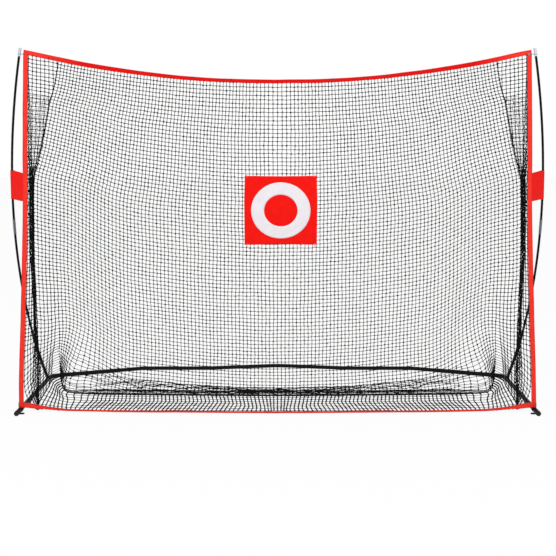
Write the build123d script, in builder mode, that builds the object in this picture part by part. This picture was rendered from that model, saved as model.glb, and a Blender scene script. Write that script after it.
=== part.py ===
from build123d import *
from math import atan2, cos, sin, sqrt, tan
import os

# Golf practice net: a bow frame of two curved poles on a steel ground frame, with a bag-shaped net and a
# cloth target.  Millimetres, +X to the player's right, +Y away from the player, +Z up.  The origin is on the
# ground in the middle of the frame's footprint.

# ---- ground frame ------------------------------------------------------------------------------------------
TUBE_OD = 28.0            # legs and corner elbows
RAIL_OD = 25.4            # rear rail
TUBE_WALL = 1.2
SLIDE_FIT = 0.1           # radial clearance of one tube end inside the next
NECK_LENGTH = 80.0        # how far one tube end enters the next
SHOULDER = 6.0            # thick ring where a tube narrows to its neck
FOOT_REACH = 60.0         # end of the leg tube in front of the net's mouth
FOOT_X = 1514.0           # leg axis at the net's mouth side
CORNER_X = 1540.0         # where the leg's and the rail's axes cross
CORNER_DEPTH = 778.0
CORNER_BEND = 70.0        # bend radius of the elbow's axis
LEG_LENGTH = 680.0
ELBOW_END_X = 1100.0      # outer rail joint
RAIL_KNEE_X = 940.0       # the rail turns parallel to the mouth here
RAIL_DEPTH = 993.0        # depth of the straight rail stretch
RAIL_FLAT_X = 500.0       # inner end of the straight stretch
RAIL_MIDDLE_DEPTH = 1070.0
RAIL_KNEE_BEND = 300.0
MIDDLE_BEND_REACH = 61.6  # where the middle bend ends, along the rail from its corner
MIDDLE_JOINT_X = 150.0    # right of the middle bend

FOOT_CAP_OD = 30.0
FOOT_CAP_LENGTH = 15.0
FOOT_CAP_EDGE = 4.0
FOOT_CAP_PLUG = 22.0
FOOT_CAP_WALL = 2.4       # of the plug inside the leg
LUG_LENGTH = 32.0         # from the leg's axis inward, past the tube
LUG_WIDTH = 26.0
LUG_THICKNESS = 3.0
LUG_HOLE = 9.0            # ground peg hole
LUG_HOLE_REACH = 8.0      # peg hole from the lug's middle, away from the leg
LUG_DEPTH = -24.0         # middle of the lug, in front of the mouth
LUG_ROUND = 6.5           # corner radius

# ---- snap buttons ------------------------------------------------------------------------------------------
BUTTON_OD = 6.2
BUTTON_CLEARANCE = 0.2
BUTTON_STAND = 3.0        # how far the button stands out of the outer tube
BUTTON_TRAVEL = 4.0
BUTTON_EDGE = 1.2
SPRING_WIDTH = 8.0
SPRING_THICKNESS = 0.8
SPRING_LENGTH = 42.0
SPRING_BEND = 2.0
SPRING_PAD = 12.0
COLLAR_OD = 9.0           # the button's base, which stops it under the inner tube's wall
COLLAR_THICKNESS = 1.5
COLLAR_GAP = 0.15

# ---- bow poles ---------------------------------------------------------------------------------------------
POLE_FOOT = (1537.0, 700.0)        # x and depth where the pole's axis meets the leg's axis
POLE_BELLY = (1606.0, 196.0, 1060.0)
POLE_TOP = (1513.5, 0.0, 2144.0)
POLE_OD = 14.0
POLE_WALL = 2.5
POLE_FIT = 0.15
SOCKET_OD = 20.0
SOCKET_LENGTH = 400.0     # along the pole
SOCKET_FLOOR = 40.0       # where the pole's lower end stands, along the pole
FERRULE_OD = 17.0
FERRULE_LENGTH = 96.0
FERRULE_START = 1140.0    # along the pole
TIP_LENGTH = 49.0
TIP_OD = 17.0
TIP_CROWN = 12.0          # solid top of the tip above the pole's end
FLANGE_OD = 21.0
FLANGE_THICKNESS = 3.0

# ---- net ---------------------------------------------------------------------------------------------------
BORDER_WIDTH = 28.0
WEBBING = 2.0             # thickness of the border webbing
LOOP_THICKNESS = 1.0
LOOP_WIDTH = 20.0
LOOP_TAIL = 30.0          # length of the foot loop that is sewn to the border
SEW_GAP = 1.5             # between pieces that are sewn side by side
NET_THICKNESS = 2.0       # measured level, front to back
BORDER_TOP_X = 1481.0     # axis of the side border at its top
BORDER_WAIST_X = 1487.0
BORDER_WAIST_HEIGHT = 1100.0
BORDER_FOOT_X = 1506.0
BORDER_FOOT_HEIGHT = 32.0
CORNER_HEIGHT = 2129.0    # top of the net's corners
TOP_SAG = 165.0           # dip of the top border between the corners
FLAT_BORDER_X = 1100.0    # the bottom border lies flat on the ground inside this
# side seams of the back net, from the ground up: height, x, depth
SEAM = (
    (0.0, 1455.0, 755.0),
    (276.0, 1484.0, 690.0),
    (700.0, 1486.0, 495.0),
    (1240.0, 1484.0, 230.0),
    (1640.0, 1400.0, 100.0),
    (2090.0, 1290.0, 5.0),
)
# back net on the middle plane, from the ground up: height, depth
MIDDLE = (
    (0.0, 530.0),
    (276.0, 430.0),
    (700.0, 330.0),
    (1240.0, 175.0),
    (1640.0, 70.0),
    (1951.0, 5.0),
)
SECTION_SHARES = (0.0, 0.14, 0.36, 0.62, 0.85, 1.0)    # heights of a net section's corners
SECTION_XS = (1484.0, 1455.0, 1400.0, 1290.0, 650.0)   # sections of the back net, and their mirror images
FLOOR_SEAM = ((1440.0, 722.0), (1408.0, 578.0), (1353.0, 437.0), (1120.0, 390.0), (0.0, 346.0))
SIDE_SEAM = ((1412.0, 30.0), (1451.0, 150.0), (1472.0, 346.0), (1480.0, 510.0), (1472.0, 700.0))
FOLD_END_X = 1400.0       # the back net's foot lies on the ground inside this
OPENINGS_ACROSS = 12      # plain openings that stand for the back net's fine mesh
OPENINGS_DOWN = 9
NET_BAR = 20.0            # width of the bars between them
NET_MARGIN = 14.0         # from the net's edge to the outermost openings
NET_FOOT = 60.0           # height of the lowest openings
TAPE_WIDTH = 10.0
TAPE_THICKNESS = 3.0

GROMMET_OD = 14.0
GROMMET_BORE = 7.0
GROMMET_WALL = 1.0        # thickness of the eyelet's barrel
GROMMET_RIM = 0.8         # thickness of its rim on each face
RING_WIRE = 2.0
RING_DROP = 21.0          # ring below the top of the net's corner
RING_CLEARANCE = 0.3

TAB_BOTTOM = 1244.0
TAB_TOP = 1412.0
TAB_THICKNESS = 1.6
SLEEVE_OD = 18.0
SLEEVE_FIT = 0.4

STRAP_X = 1462.0          # rear strap on the elbow

# ---- target ------------------------------------------------------------------------------------------------
TARGET_SIZE = 445.0
TARGET_X = 20.0
TARGET_HEIGHT = 1180.0
TARGET_GAP = 12.0         # panel in front of the back net
PANEL_THICKNESS = 2.0
RING_OUTER = 362.0
RING_INNER = 204.0
APPLIQUE = 1.0            # thickness of the sewn ring
TIE_OD = 3.0
TIE_LENGTH = 27.0
TIE_INSET = 14.0

# ---- worked out from the above -----------------------------------------------------------------------------
TUBE_R = TUBE_OD / 2
RAIL_R = RAIL_OD / 2
AXIS_HEIGHT = FOOT_CAP_OD / 2
HALF_BORDER = BORDER_WIDTH / 2
bow_angle = atan2(RAIL_MIDDLE_DEPTH - RAIL_DEPTH, RAIL_FLAT_X)
middle_bend = MIDDLE_BEND_REACH / abs(tan(bow_angle))
rail_back = RAIL_MIDDLE_DEPTH - middle_bend * (1 / cos(bow_angle) - 1) + RAIL_R
foot_front = -FOOT_REACH - FOOT_CAP_LENGTH
MOUTH_Y = -(rail_back + foot_front) / 2
RING_HEIGHT = CORNER_HEIGHT - RING_DROP
ARC_STEP = 1e-9           # finest share of an arc that a search goes down to
SIDES = (("left", -1), ("right", 1))


def at(x, depth, height):
    """A point by its x, its depth behind the net's mouth and its height above the ground."""
    return Vector(x, MOUTH_Y + depth, height)


def between(table, height):
    """The row of values at a height, along straight lines between a table's rows."""
    rows = list(zip(table, table[1:]))
    low, high = next((pair for pair in rows if height <= pair[1][0]), rows[-1])
    share = min(1.0, max(0.0, (height - low[0]) / (high[0] - low[0])))
    return [a + (b - a) * share for a, b in zip(low[1:], high[1:])]


def net_depth(x, height):
    """Depth of the back net's front face."""
    seam_x, seam_depth = between(SEAM, height)
    middle_depth = between(MIDDLE, height)[0]
    return middle_depth + (seam_depth - middle_depth) * (x / seam_x) ** 2


def pole_axis(side):
    """The pole's axis, one arc from the leg's axis to the top."""
    foot = at(side * POLE_FOOT[0], POLE_FOOT[1], AXIS_HEIGHT)
    belly = at(side * POLE_BELLY[0], POLE_BELLY[1], POLE_BELLY[2])
    top = at(side * POLE_TOP[0], POLE_TOP[1], POLE_TOP[2])
    return Edge.make_three_point_arc(foot, belly, top)


def across(path):
    """The plane across a path at its start."""
    return Plane(origin=path @ 0, z_dir=path % 0)


def stretch(axis, start, end):
    """Part of an axis between two distances along it."""
    return axis.trim(start / axis.length, end / axis.length)


def share_at(axis, height):
    """How far along a rising axis a height is reached, as a share of its length."""
    low, high = 0.0, 1.0
    while high - low > ARC_STEP:
        middle = (low + high) / 2
        low, high = (middle, high) if (axis @ middle).Z < height else (low, middle)
    return low


def at_height(axis, height):
    """The point of a rising axis at a height."""
    return axis @ share_at(axis, height)


def stretch_between(axis, low, high):
    """Part of a rising axis between two heights."""
    return axis.trim(share_at(axis, low), share_at(axis, high))


def border_top(x):
    """Height of the top border's axis, on an arc through its corners and its dip."""
    half = BORDER_TOP_X + HALF_BORDER
    radius = (half**2 + TOP_SAG**2) / (2 * TOP_SAG)
    return CORNER_HEIGHT - HALF_BORDER - TOP_SAG + radius - sqrt(radius**2 - x**2)


def border_edge(height):
    """Outer edge of the side border, on an arc through its foot, waist and top."""
    foot = Vector(BORDER_FOOT_X + HALF_BORDER, BORDER_FOOT_HEIGHT, 0)
    waist = Vector(BORDER_WAIST_X + HALF_BORDER, BORDER_WAIST_HEIGHT, 0)
    top = Vector(BORDER_TOP_X + HALF_BORDER, CORNER_HEIGHT, 0)
    arc = Edge.make_three_point_arc(foot, waist, top)
    low, high = 0.0, 1.0
    while high - low > ARC_STEP:
        middle = (low + high) / 2
        low, high = (middle, high) if (arc @ middle).Y < height else (low, middle)
    return (arc @ low).X


def save(part, label):
    part.label = label
    export_step(part, f"parts/{label}.step")


os.makedirs("parts", exist_ok=True)
UP = Vector(0, 0, 1)

# ---- ground frame ------------------------------------------------------------------------------------------
for hand, side in SIDES:
    corner = at(side * CORNER_X, CORNER_DEPTH, AXIS_HEIGHT)
    leg_front = at(side * FOOT_X, -FOOT_REACH, AXIS_HEIGHT)
    leg_way = (corner - leg_front).normalized()
    leg_back = leg_front + leg_way * LEG_LENGTH
    knee = at(side * RAIL_KNEE_X, RAIL_DEPTH, AXIS_HEIGHT)
    rail_way = (knee - corner).normalized()
    elbow_end = corner + rail_way * ((CORNER_X - ELBOW_END_X) / abs(rail_way.X))
    flat_end = at(side * RAIL_FLAT_X, RAIL_DEPTH, AXIS_HEIGHT)
    middle = at(0, RAIL_MIDDLE_DEPTH, AXIS_HEIGHT)
    right_bow = Vector(-cos(bow_angle), sin(bow_angle), 0)
    middle_joint = middle - right_bow * (MIDDLE_JOINT_X / cos(bow_angle))
    leg_plane = Plane(origin=leg_front, z_dir=leg_way)
    neck_r = TUBE_R - TUBE_WALL - SLIDE_FIT
    rail_neck_r = RAIL_R - TUBE_WALL - SLIDE_FIT
    leg_button = leg_back - leg_way * (NECK_LENGTH / 2)
    rail_button = elbow_end - rail_way * (NECK_LENGTH / 2)
    middle_button = middle_joint + right_bow * -(NECK_LENGTH / 2)
    hole_r = BUTTON_OD / 2 + BUTTON_CLEARANCE

    with BuildPart() as leg:
        with BuildSketch(leg_plane):
            Circle(TUBE_R)
            Circle(TUBE_R - TUBE_WALL, mode=Mode.SUBTRACT)
        extrude(amount=LEG_LENGTH)
        with BuildSketch(Plane(origin=leg_button)):
            Circle(hole_r)
        extrude(amount=TUBE_OD, mode=Mode.SUBTRACT)
    save(leg.part, f"leg_{hand}")

    with BuildPart() as foot_cap:
        with BuildSketch(leg_plane):
            Circle(FOOT_CAP_OD / 2)
        extrude(amount=-FOOT_CAP_LENGTH)
        fillet(foot_cap.edges().sort_by(Axis(leg_front, leg_way))[0], FOOT_CAP_EDGE)
        with BuildSketch(leg_plane):
            Circle(neck_r)
            Circle(neck_r - FOOT_CAP_WALL, mode=Mode.SUBTRACT)
        extrude(amount=FOOT_CAP_PLUG)
    save(foot_cap.part, f"foot_cap_{hand}")

    lug_middle = at(side * (FOOT_X - LUG_LENGTH / 2), LUG_DEPTH, 0)
    with BuildPart() as stake_lug:
        with BuildSketch(Plane(origin=lug_middle)):
            Rectangle(LUG_LENGTH, LUG_WIDTH)
            with Locations((-side * LUG_HOLE_REACH, 0)):
                Circle(LUG_HOLE / 2, mode=Mode.SUBTRACT)
        extrude(amount=LUG_THICKNESS)
        fillet(stake_lug.edges().filter_by(Axis.Z).sort_by(Axis.X, reverse=side < 0)[:2], LUG_ROUND)
        with BuildSketch(leg_plane):
            Circle(TUBE_R)
        extrude(amount=LEG_LENGTH, mode=Mode.SUBTRACT)
    save(stake_lug.part, f"stake_lug_{hand}")

    elbow_plane = Plane(origin=leg_back, z_dir=leg_way)
    with BuildPart() as elbow:
        with BuildLine() as elbow_axis:
            FilletPolyline(leg_back, corner, elbow_end, radius=CORNER_BEND)
        with BuildSketch(elbow_plane):
            Circle(TUBE_R)
            Circle(TUBE_R - TUBE_WALL, mode=Mode.SUBTRACT)
        sweep(path=elbow_axis.wire())
        with BuildSketch(elbow_plane):
            Circle(TUBE_R)
            Circle(neck_r - TUBE_WALL, mode=Mode.SUBTRACT)
        extrude(amount=SHOULDER)
        with BuildSketch(elbow_plane):
            Circle(neck_r)
            Circle(neck_r - TUBE_WALL, mode=Mode.SUBTRACT)
        extrude(amount=-NECK_LENGTH)
        with BuildSketch(Plane(origin=leg_button), Plane(origin=rail_button)):
            Circle(hole_r)
        extrude(amount=TUBE_OD, mode=Mode.SUBTRACT)
    save(elbow.part, f"corner_elbow_{hand}")

    # the left rail half carries the middle bend and its neck enters the right half
    rail_start = elbow_end - rail_way * NECK_LENGTH
    with BuildPart() as rear_rail:
        with BuildLine() as rail_axis:
            if side < 0:
                bends = [RAIL_KNEE_BEND, RAIL_KNEE_BEND, middle_bend]
                FilletPolyline(rail_start, knee, flat_end, middle, middle_joint, radius=bends)
            else:
                FilletPolyline(rail_start, knee, flat_end, middle_joint, radius=RAIL_KNEE_BEND)
        with BuildSketch(Plane(origin=rail_start, z_dir=rail_way)):
            Circle(RAIL_R)
            Circle(RAIL_R - TUBE_WALL, mode=Mode.SUBTRACT)
        sweep(path=rail_axis.wire())
        if side < 0:
            with BuildSketch(Plane(origin=middle_joint, z_dir=right_bow)):
                Circle(RAIL_R)
                Circle(rail_neck_r - TUBE_WALL, mode=Mode.SUBTRACT)
            extrude(amount=SHOULDER)
            with BuildSketch(Plane(origin=middle_joint, z_dir=-right_bow)):
                Circle(rail_neck_r)
                Circle(rail_neck_r - TUBE_WALL, mode=Mode.SUBTRACT)
            extrude(amount=NECK_LENGTH)
        with BuildSketch(Plane(origin=rail_button), Plane(origin=middle_button)):
            Circle(hole_r)
        extrude(amount=TUBE_OD, mode=Mode.SUBTRACT)
    save(rear_rail.part, f"rear_rail_{hand}")

    # each joint: its place, the way its spring lies, the spring's bore and the outer tube's radius
    joints = [
        ("leg", leg_button, leg_way, neck_r - TUBE_WALL, TUBE_R),
        ("rail", rail_button, rail_way, RAIL_R - TUBE_WALL, TUBE_R),
    ]
    if side < 0:
        joints.append(("middle", middle_button, right_bow, rail_neck_r - TUBE_WALL, RAIL_R))
    for joint, place, way, bore_r, outer_r in joints:
        name = joint if joint == "middle" else f"{joint}_{hand}"
        seat = sqrt(bore_r**2 - (COLLAR_OD / 2) ** 2) - COLLAR_THICKNESS - COLLAR_GAP
        with BuildPart() as snap_button:
            with BuildSketch(Plane(origin=place + UP * seat)):
                Circle(COLLAR_OD / 2)
            extrude(amount=COLLAR_THICKNESS)
            with BuildSketch(Plane(origin=place + UP * seat)):
                Circle(BUTTON_OD / 2)
            extrude(amount=outer_r + BUTTON_STAND - seat)
            fillet(snap_button.edges().sort_by(Axis.Z)[-1], BUTTON_EDGE)
        save(snap_button.part, f"snap_button_{name}")

        spring_low = SPRING_THICKNESS / 2 + COLLAR_GAP - sqrt(bore_r**2 - (SPRING_WIDTH / 2) ** 2)
        spring_high = seat - SPRING_THICKNESS / 2
        with BuildPart() as button_spring:
            with BuildSketch(Plane(origin=place, x_dir=way, z_dir=way.cross(UP))):
                with BuildLine():
                    FilletPolyline(
                        (-SPRING_PAD / 2, spring_high),
                        (SPRING_PAD / 2, spring_high),
                        (SPRING_LENGTH, spring_low + 2 * SPRING_BEND),
                        (SPRING_LENGTH, spring_low),
                        (-SPRING_PAD / 2, spring_low),
                        radius=SPRING_BEND,
                    )
                trace(line_width=SPRING_THICKNESS)
            extrude(amount=SPRING_WIDTH / 2, both=True)
        save(button_spring.part, f"button_spring_{name}")

# ---- bow poles ---------------------------------------------------------------------------------------------
for hand, side in SIDES:
    bow = pole_axis(side)

    splice = FERRULE_START + FERRULE_LENGTH / 2
    pole_end = bow.length - TIP_CROWN
    pole_bore_r = POLE_OD / 2 + POLE_FIT

    socket_axis = stretch(bow, 0, SOCKET_LENGTH)
    socket_bore = stretch(bow, SOCKET_FLOOR, SOCKET_LENGTH)
    with BuildPart() as pole_socket:
        with BuildSketch(across(socket_axis)):
            Circle(SOCKET_OD / 2)
        sweep(path=socket_axis)
        with BuildSketch(across(socket_bore)):
            Circle(pole_bore_r)
        sweep(path=socket_bore, mode=Mode.SUBTRACT)
        leg_front = at(side * FOOT_X, -FOOT_REACH, AXIS_HEIGHT)
        corner = at(side * CORNER_X, CORNER_DEPTH, AXIS_HEIGHT)
        with BuildSketch(Plane(origin=leg_front, z_dir=corner - leg_front)):
            Circle(TUBE_R)
        extrude(amount=(corner - leg_front).length, mode=Mode.SUBTRACT)
    save(pole_socket.part, f"pole_socket_{hand}")

    lengths = (("lower_pole", SOCKET_FLOOR, splice), ("upper_pole", splice, pole_end))
    for label, start, end in lengths:
        axis = stretch(bow, start, end)
        with BuildPart() as pole:
            with BuildSketch(across(axis)):
                Circle(POLE_OD / 2)
                Circle(POLE_OD / 2 - POLE_WALL, mode=Mode.SUBTRACT)
            sweep(path=axis)
        save(pole.part, f"{label}_{hand}")

    ferrule_axis = stretch(bow, FERRULE_START, FERRULE_START + FERRULE_LENGTH)
    with BuildPart() as mid_ferrule:
        with BuildSketch(across(ferrule_axis)):
            Circle(FERRULE_OD / 2)
            Circle(pole_bore_r, mode=Mode.SUBTRACT)
        sweep(path=ferrule_axis)
    save(mid_ferrule.part, f"mid_ferrule_{hand}")

    tip_axis = stretch(bow, bow.length - TIP_LENGTH, bow.length)
    tip_bore = stretch(bow, bow.length - TIP_LENGTH, pole_end)
    flange_axis = stretch(bow, bow.length - FLANGE_THICKNESS, bow.length)
    with BuildPart() as pole_tip:
        with BuildSketch(across(tip_axis)):
            Circle(TIP_OD / 2)
        sweep(path=tip_axis)
        with BuildSketch(across(flange_axis)):
            Circle(FLANGE_OD / 2)
        sweep(path=flange_axis)
        with BuildSketch(across(tip_bore)):
            Circle(pole_bore_r)
        sweep(path=tip_bore, mode=Mode.SUBTRACT)
    save(pole_tip.part, f"pole_tip_{hand}")

# ---- net border --------------------------------------------------------------------------------------------
half_top = BORDER_TOP_X + HALF_BORDER
top_corner_low = CORNER_HEIGHT - BORDER_WIDTH
middle_high = CORNER_HEIGHT - TOP_SAG
with BuildPart() as top_border:
    with BuildSketch(Plane(origin=at(0, 0, 0), x_dir=(1, 0, 0), z_dir=(0, -1, 0))):
        with BuildLine():
            ThreePointArc((-half_top, CORNER_HEIGHT), (0, middle_high), (half_top, CORNER_HEIGHT))
            Line((half_top, CORNER_HEIGHT), (half_top, top_corner_low))
            low_middle = (0, middle_high - BORDER_WIDTH)
            ThreePointArc((half_top, top_corner_low), low_middle, (-half_top, top_corner_low))
            Line((-half_top, top_corner_low), (-half_top, CORNER_HEIGHT))
        make_face()
        with Locations(*[(side * BORDER_TOP_X, RING_HEIGHT) for hand, side in SIDES]):
            Circle(GROMMET_BORE / 2 + GROMMET_WALL, mode=Mode.SUBTRACT)
    extrude(amount=WEBBING / 2, both=True)
save(top_border.part, "top_border")

with BuildPart() as bottom_border:
    for side in (-1, 1):
        flat_end = at(side * FLAT_BORDER_X, 0, WEBBING / 2)
        raised_end = at(side * (BORDER_FOOT_X - HALF_BORDER - SEW_GAP), 0, BORDER_FOOT_HEIGHT + HALF_BORDER)
        with BuildSketch(Plane(origin=flat_end, x_dir=(0, 1, 0), z_dir=(1, 0, 0))):
            Rectangle(BORDER_WIDTH, WEBBING)
        with BuildSketch(Plane(origin=raised_end, x_dir=(0, 0, 1), z_dir=(1, 0, 0))):
            Rectangle(BORDER_WIDTH, WEBBING)
        loft(ruled=True)
    with BuildSketch(Plane(origin=at(0, 0, 0))):
        Rectangle(2 * FLAT_BORDER_X, BORDER_WIDTH)
    extrude(amount=WEBBING)
save(bottom_border.part, "bottom_border")

for hand, side in SIDES:
    border_plane = Plane(origin=at(0, 0, 0), x_dir=(side, 0, 0), z_dir=(0, -side, 0))
    with BuildPart() as side_border:
        with BuildSketch(border_plane):
            with BuildLine():
                spine = [(BORDER_FOOT_X, BORDER_FOOT_HEIGHT), (BORDER_WAIST_X, BORDER_WAIST_HEIGHT)]
                top_outer = (half_top, border_top(half_top) - HALF_BORDER - SEW_GAP)
                inner_x = half_top - BORDER_WIDTH
                top_inner = (inner_x, border_top(inner_x) - HALF_BORDER - SEW_GAP)
                outer = [(x + HALF_BORDER, height) for x, height in spine] + [top_outer]
                inner = [(x - HALF_BORDER, height) for x, height in spine] + [top_inner]
                ThreePointArc(*outer)
                Line(outer[-1], inner[-1])
                ThreePointArc(*reversed(inner))
                Line(inner[0], outer[0])
            make_face()
        extrude(amount=WEBBING / 2, both=True)
    save(side_border.part, f"{hand}_border")

    # a loop of webbing round the leg holds the front corner down
    leg_front = at(side * FOOT_X, -FOOT_REACH, AXIS_HEIGHT)
    leg_way = (at(side * CORNER_X, CORNER_DEPTH, AXIS_HEIGHT) - leg_front).normalized()
    loop_place = leg_front + leg_way * (FOOT_REACH + WEBBING)
    tail_place = at(side * BORDER_FOOT_X, WEBBING / 2 + LOOP_THICKNESS / 2, AXIS_HEIGHT + TUBE_R)
    with BuildPart() as foot_loop:
        with BuildSketch(Plane(origin=loop_place, z_dir=leg_way)):
            Circle(TUBE_R + LOOP_THICKNESS)
        extrude(amount=LOOP_WIDTH)
        with BuildSketch(Plane(origin=tail_place)):
            Rectangle(LOOP_WIDTH, LOOP_THICKNESS)
        extrude(amount=LOOP_TAIL)
        with BuildSketch(Plane(origin=leg_front, z_dir=leg_way)):
            Circle(TUBE_R)
        extrude(amount=LEG_LENGTH, mode=Mode.SUBTRACT)
    save(foot_loop.part, f"foot_loop_{hand}")

    # the pole's top hooks into a grommet in the border's corner through a wire ring
    grommet_place = at(side * BORDER_TOP_X, 0, RING_HEIGHT)
    with BuildPart() as corner_grommet:
        with BuildSketch(Plane(origin=grommet_place, z_dir=(0, 1, 0))):
            Circle(GROMMET_OD / 2)
        extrude(amount=WEBBING / 2 + GROMMET_RIM, both=True)
        with BuildSketch(Plane(origin=grommet_place, z_dir=(0, 1, 0))):
            Circle(GROMMET_OD / 2)
            Circle(GROMMET_BORE / 2 + GROMMET_WALL, mode=Mode.SUBTRACT)
        extrude(amount=WEBBING / 2, both=True, mode=Mode.SUBTRACT)
        with BuildSketch(Plane(origin=grommet_place, z_dir=(0, 1, 0))):
            Circle(GROMMET_BORE / 2)
        extrude(amount=WEBBING, both=True, mode=Mode.SUBTRACT)
    save(corner_grommet.part, f"corner_grommet_{hand}")

    ring_middle = at_height(pole_axis(side), RING_HEIGHT)
    ring_r = TIP_OD / 2 + RING_CLEARANCE + RING_WIRE / 2
    near_x = BORDER_TOP_X + ring_r
    far_x = abs(ring_middle.X)
    with BuildPart() as corner_ring:
        with BuildLine(Plane(origin=ring_middle, x_dir=(side, 0, 0), z_dir=(0, 0, side))) as ring_axis:
            reach = near_x - far_x
            ThreePointArc((0, -ring_r), (ring_r, 0), (0, ring_r))
            Line((0, ring_r), (reach, ring_r))
            ThreePointArc((reach, ring_r), (reach - ring_r, 0), (reach, -ring_r))
            Line((reach, -ring_r), (0, -ring_r))
        with BuildSketch(across(ring_axis.wire())):
            Circle(RING_WIRE / 2)
        sweep(path=ring_axis.wire())
    save(corner_ring.part, f"corner_ring_{hand}")

    # a red fabric sleeve on the pole, with a tab to the side border
    with BuildPart() as pole_tab:
        for height in (TAB_BOTTOM, TAB_TOP):
            pole = at_height(pole_axis(side), height)
            border_x = border_edge(height)
            with BuildSketch(Plane.XY.offset(height)):
                with BuildLine():
                    Polyline(
                        (side * border_x, MOUTH_Y - WEBBING / 2),
                        (pole.X, pole.Y - TAB_THICKNESS / 2),
                        (pole.X, pole.Y + TAB_THICKNESS / 2),
                        (side * border_x, MOUTH_Y + WEBBING / 2),
                        close=True,
                    )
                make_face()
        loft(ruled=True)
        sleeve = stretch_between(pole_axis(side), TAB_BOTTOM, TAB_TOP)
        with BuildSketch(across(sleeve)):
            Circle(SLEEVE_OD / 2)
        sweep(path=sleeve)
        bore = stretch_between(pole_axis(side), TAB_BOTTOM - SLEEVE_OD, TAB_TOP + SLEEVE_OD)
        with BuildSketch(across(bore)):
            Circle(POLE_OD / 2 + SLEEVE_FIT)
        sweep(path=bore, mode=Mode.SUBTRACT)
    save(pole_tab.part, f"pole_tab_{hand}")


# ---- net panels --------------------------------------------------------------------------------------------
def net_section(x):
    """Front edge of the back net on the plane at x, from the ground up: pairs of depth and height."""
    inside = [height for height in range(0, int(CORNER_HEIGHT)) if between(SEAM, height)[0] >= x]
    low = inside[0]
    high = min(inside[-1], border_top(x) - SEW_GAP)
    heights = [low + (high - low) * share for share in SECTION_SHARES]
    return [(net_depth(x, height), height) for height in heights]


def net_corner(across, up):
    """Point of the back net's openings, across from -1 to 1 and up from 0 to 1: its x and height."""
    top_x = across * (SEAM[-1][1] - NET_MARGIN)
    top = border_top(top_x) - HALF_BORDER - NET_MARGIN
    height = NET_FOOT + (top - NET_FOOT) * up
    return across * (between(SEAM, height)[0] - NET_MARGIN), height


def net_opening(column, row):
    """Corners of one opening of the back net."""
    bar_across = NET_BAR / (2 * SEAM[-1][1])
    bar_up = NET_BAR / (CORNER_HEIGHT - NET_FOOT)
    left = (2 * column / OPENINGS_ACROSS - 1) + bar_across / 2
    right = (2 * (column + 1) / OPENINGS_ACROSS - 1) - bar_across / 2
    low = row / OPENINGS_DOWN + bar_up / 2
    high = (row + 1) / OPENINGS_DOWN - bar_up / 2
    return [net_corner(left, low), net_corner(right, low), net_corner(right, high), net_corner(left, high)]


floor_seam = [(-x, depth) for x, depth in FLOOR_SEAM] + [(x, depth) for x, depth in reversed(FLOOR_SEAM[:-1])]

with BuildPart() as back_net:
    xs = sorted({side * x for x in (*SECTION_XS, 0.0) for side in (-1, 1)})
    for x in xs:
        front = net_section(abs(x))
        back = [(depth + NET_THICKNESS, height) for depth, height in reversed(front)]
        with BuildSketch(Plane(origin=at(x, 0, 0), x_dir=(0, 1, 0), z_dir=(1, 0, 0))):
            with BuildLine():
                Polyline(*front, *back, close=True)
            make_face()
    loft(ruled=True)
    with BuildSketch(Plane(origin=at(0, 0, 0), x_dir=(1, 0, 0), z_dir=(0, -1, 0))):
        for column in range(OPENINGS_ACROSS):
            for row in range(OPENINGS_DOWN):
                with BuildLine():
                    Polyline(*net_opening(column, row), close=True)
                make_face()
    extrude(amount=-CORNER_DEPTH, mode=Mode.SUBTRACT)
    # its foot folds forward along the ground as far as the floor seam
    with BuildSketch(Plane(origin=at(0, 0, 0))):
        with BuildLine():
            foot = [(x, net_depth(x, 0) + NET_THICKNESS) for x in xs if abs(x) <= FOLD_END_X]
            Polyline(*foot, *reversed(floor_seam), close=True)
        make_face()
        with BuildLine():
            tape = Polyline(*floor_seam)
        trace(tape, line_width=TAPE_WIDTH + 2 * SEW_GAP, mode=Mode.SUBTRACT)
    extrude(amount=NET_THICKNESS)
save(back_net.part, "back_net")

with BuildPart() as floor_seam_tape:
    with BuildSketch(Plane(origin=at(0, 0, 0))):
        with BuildLine():
            tape = Polyline(*floor_seam)
        trace(tape, line_width=TAPE_WIDTH)
    extrude(amount=TAPE_THICKNESS)
save(floor_seam_tape.part, "floor_seam")

floor_edge = HALF_BORDER + SEW_GAP
side_seam_room = TAPE_WIDTH / 2 + SEW_GAP
with BuildPart() as floor_net:
    with BuildSketch(Plane(origin=at(0, 0, 0))):
        with BuildLine():
            right_side = [(x, depth) for x, depth in SIDE_SEAM]
            left_side = [(-x, depth) for x, depth in reversed(SIDE_SEAM)]
            front = [(-SIDE_SEAM[0][0], floor_edge), (SIDE_SEAM[0][0], floor_edge)]
            Polyline(*front, *right_side, *reversed(floor_seam), *left_side, close=True)
        make_face()
        with BuildLine():
            tape = Polyline(*floor_seam)
        trace(tape, line_width=2 * side_seam_room, mode=Mode.SUBTRACT)
        for side in (-1, 1):
            with BuildLine():
                tape = Polyline(*[(side * x, depth) for x, depth in SIDE_SEAM])
            trace(tape, line_width=2 * side_seam_room, mode=Mode.SUBTRACT)
    extrude(amount=NET_THICKNESS)
save(floor_net.part, "floor_net")

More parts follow.
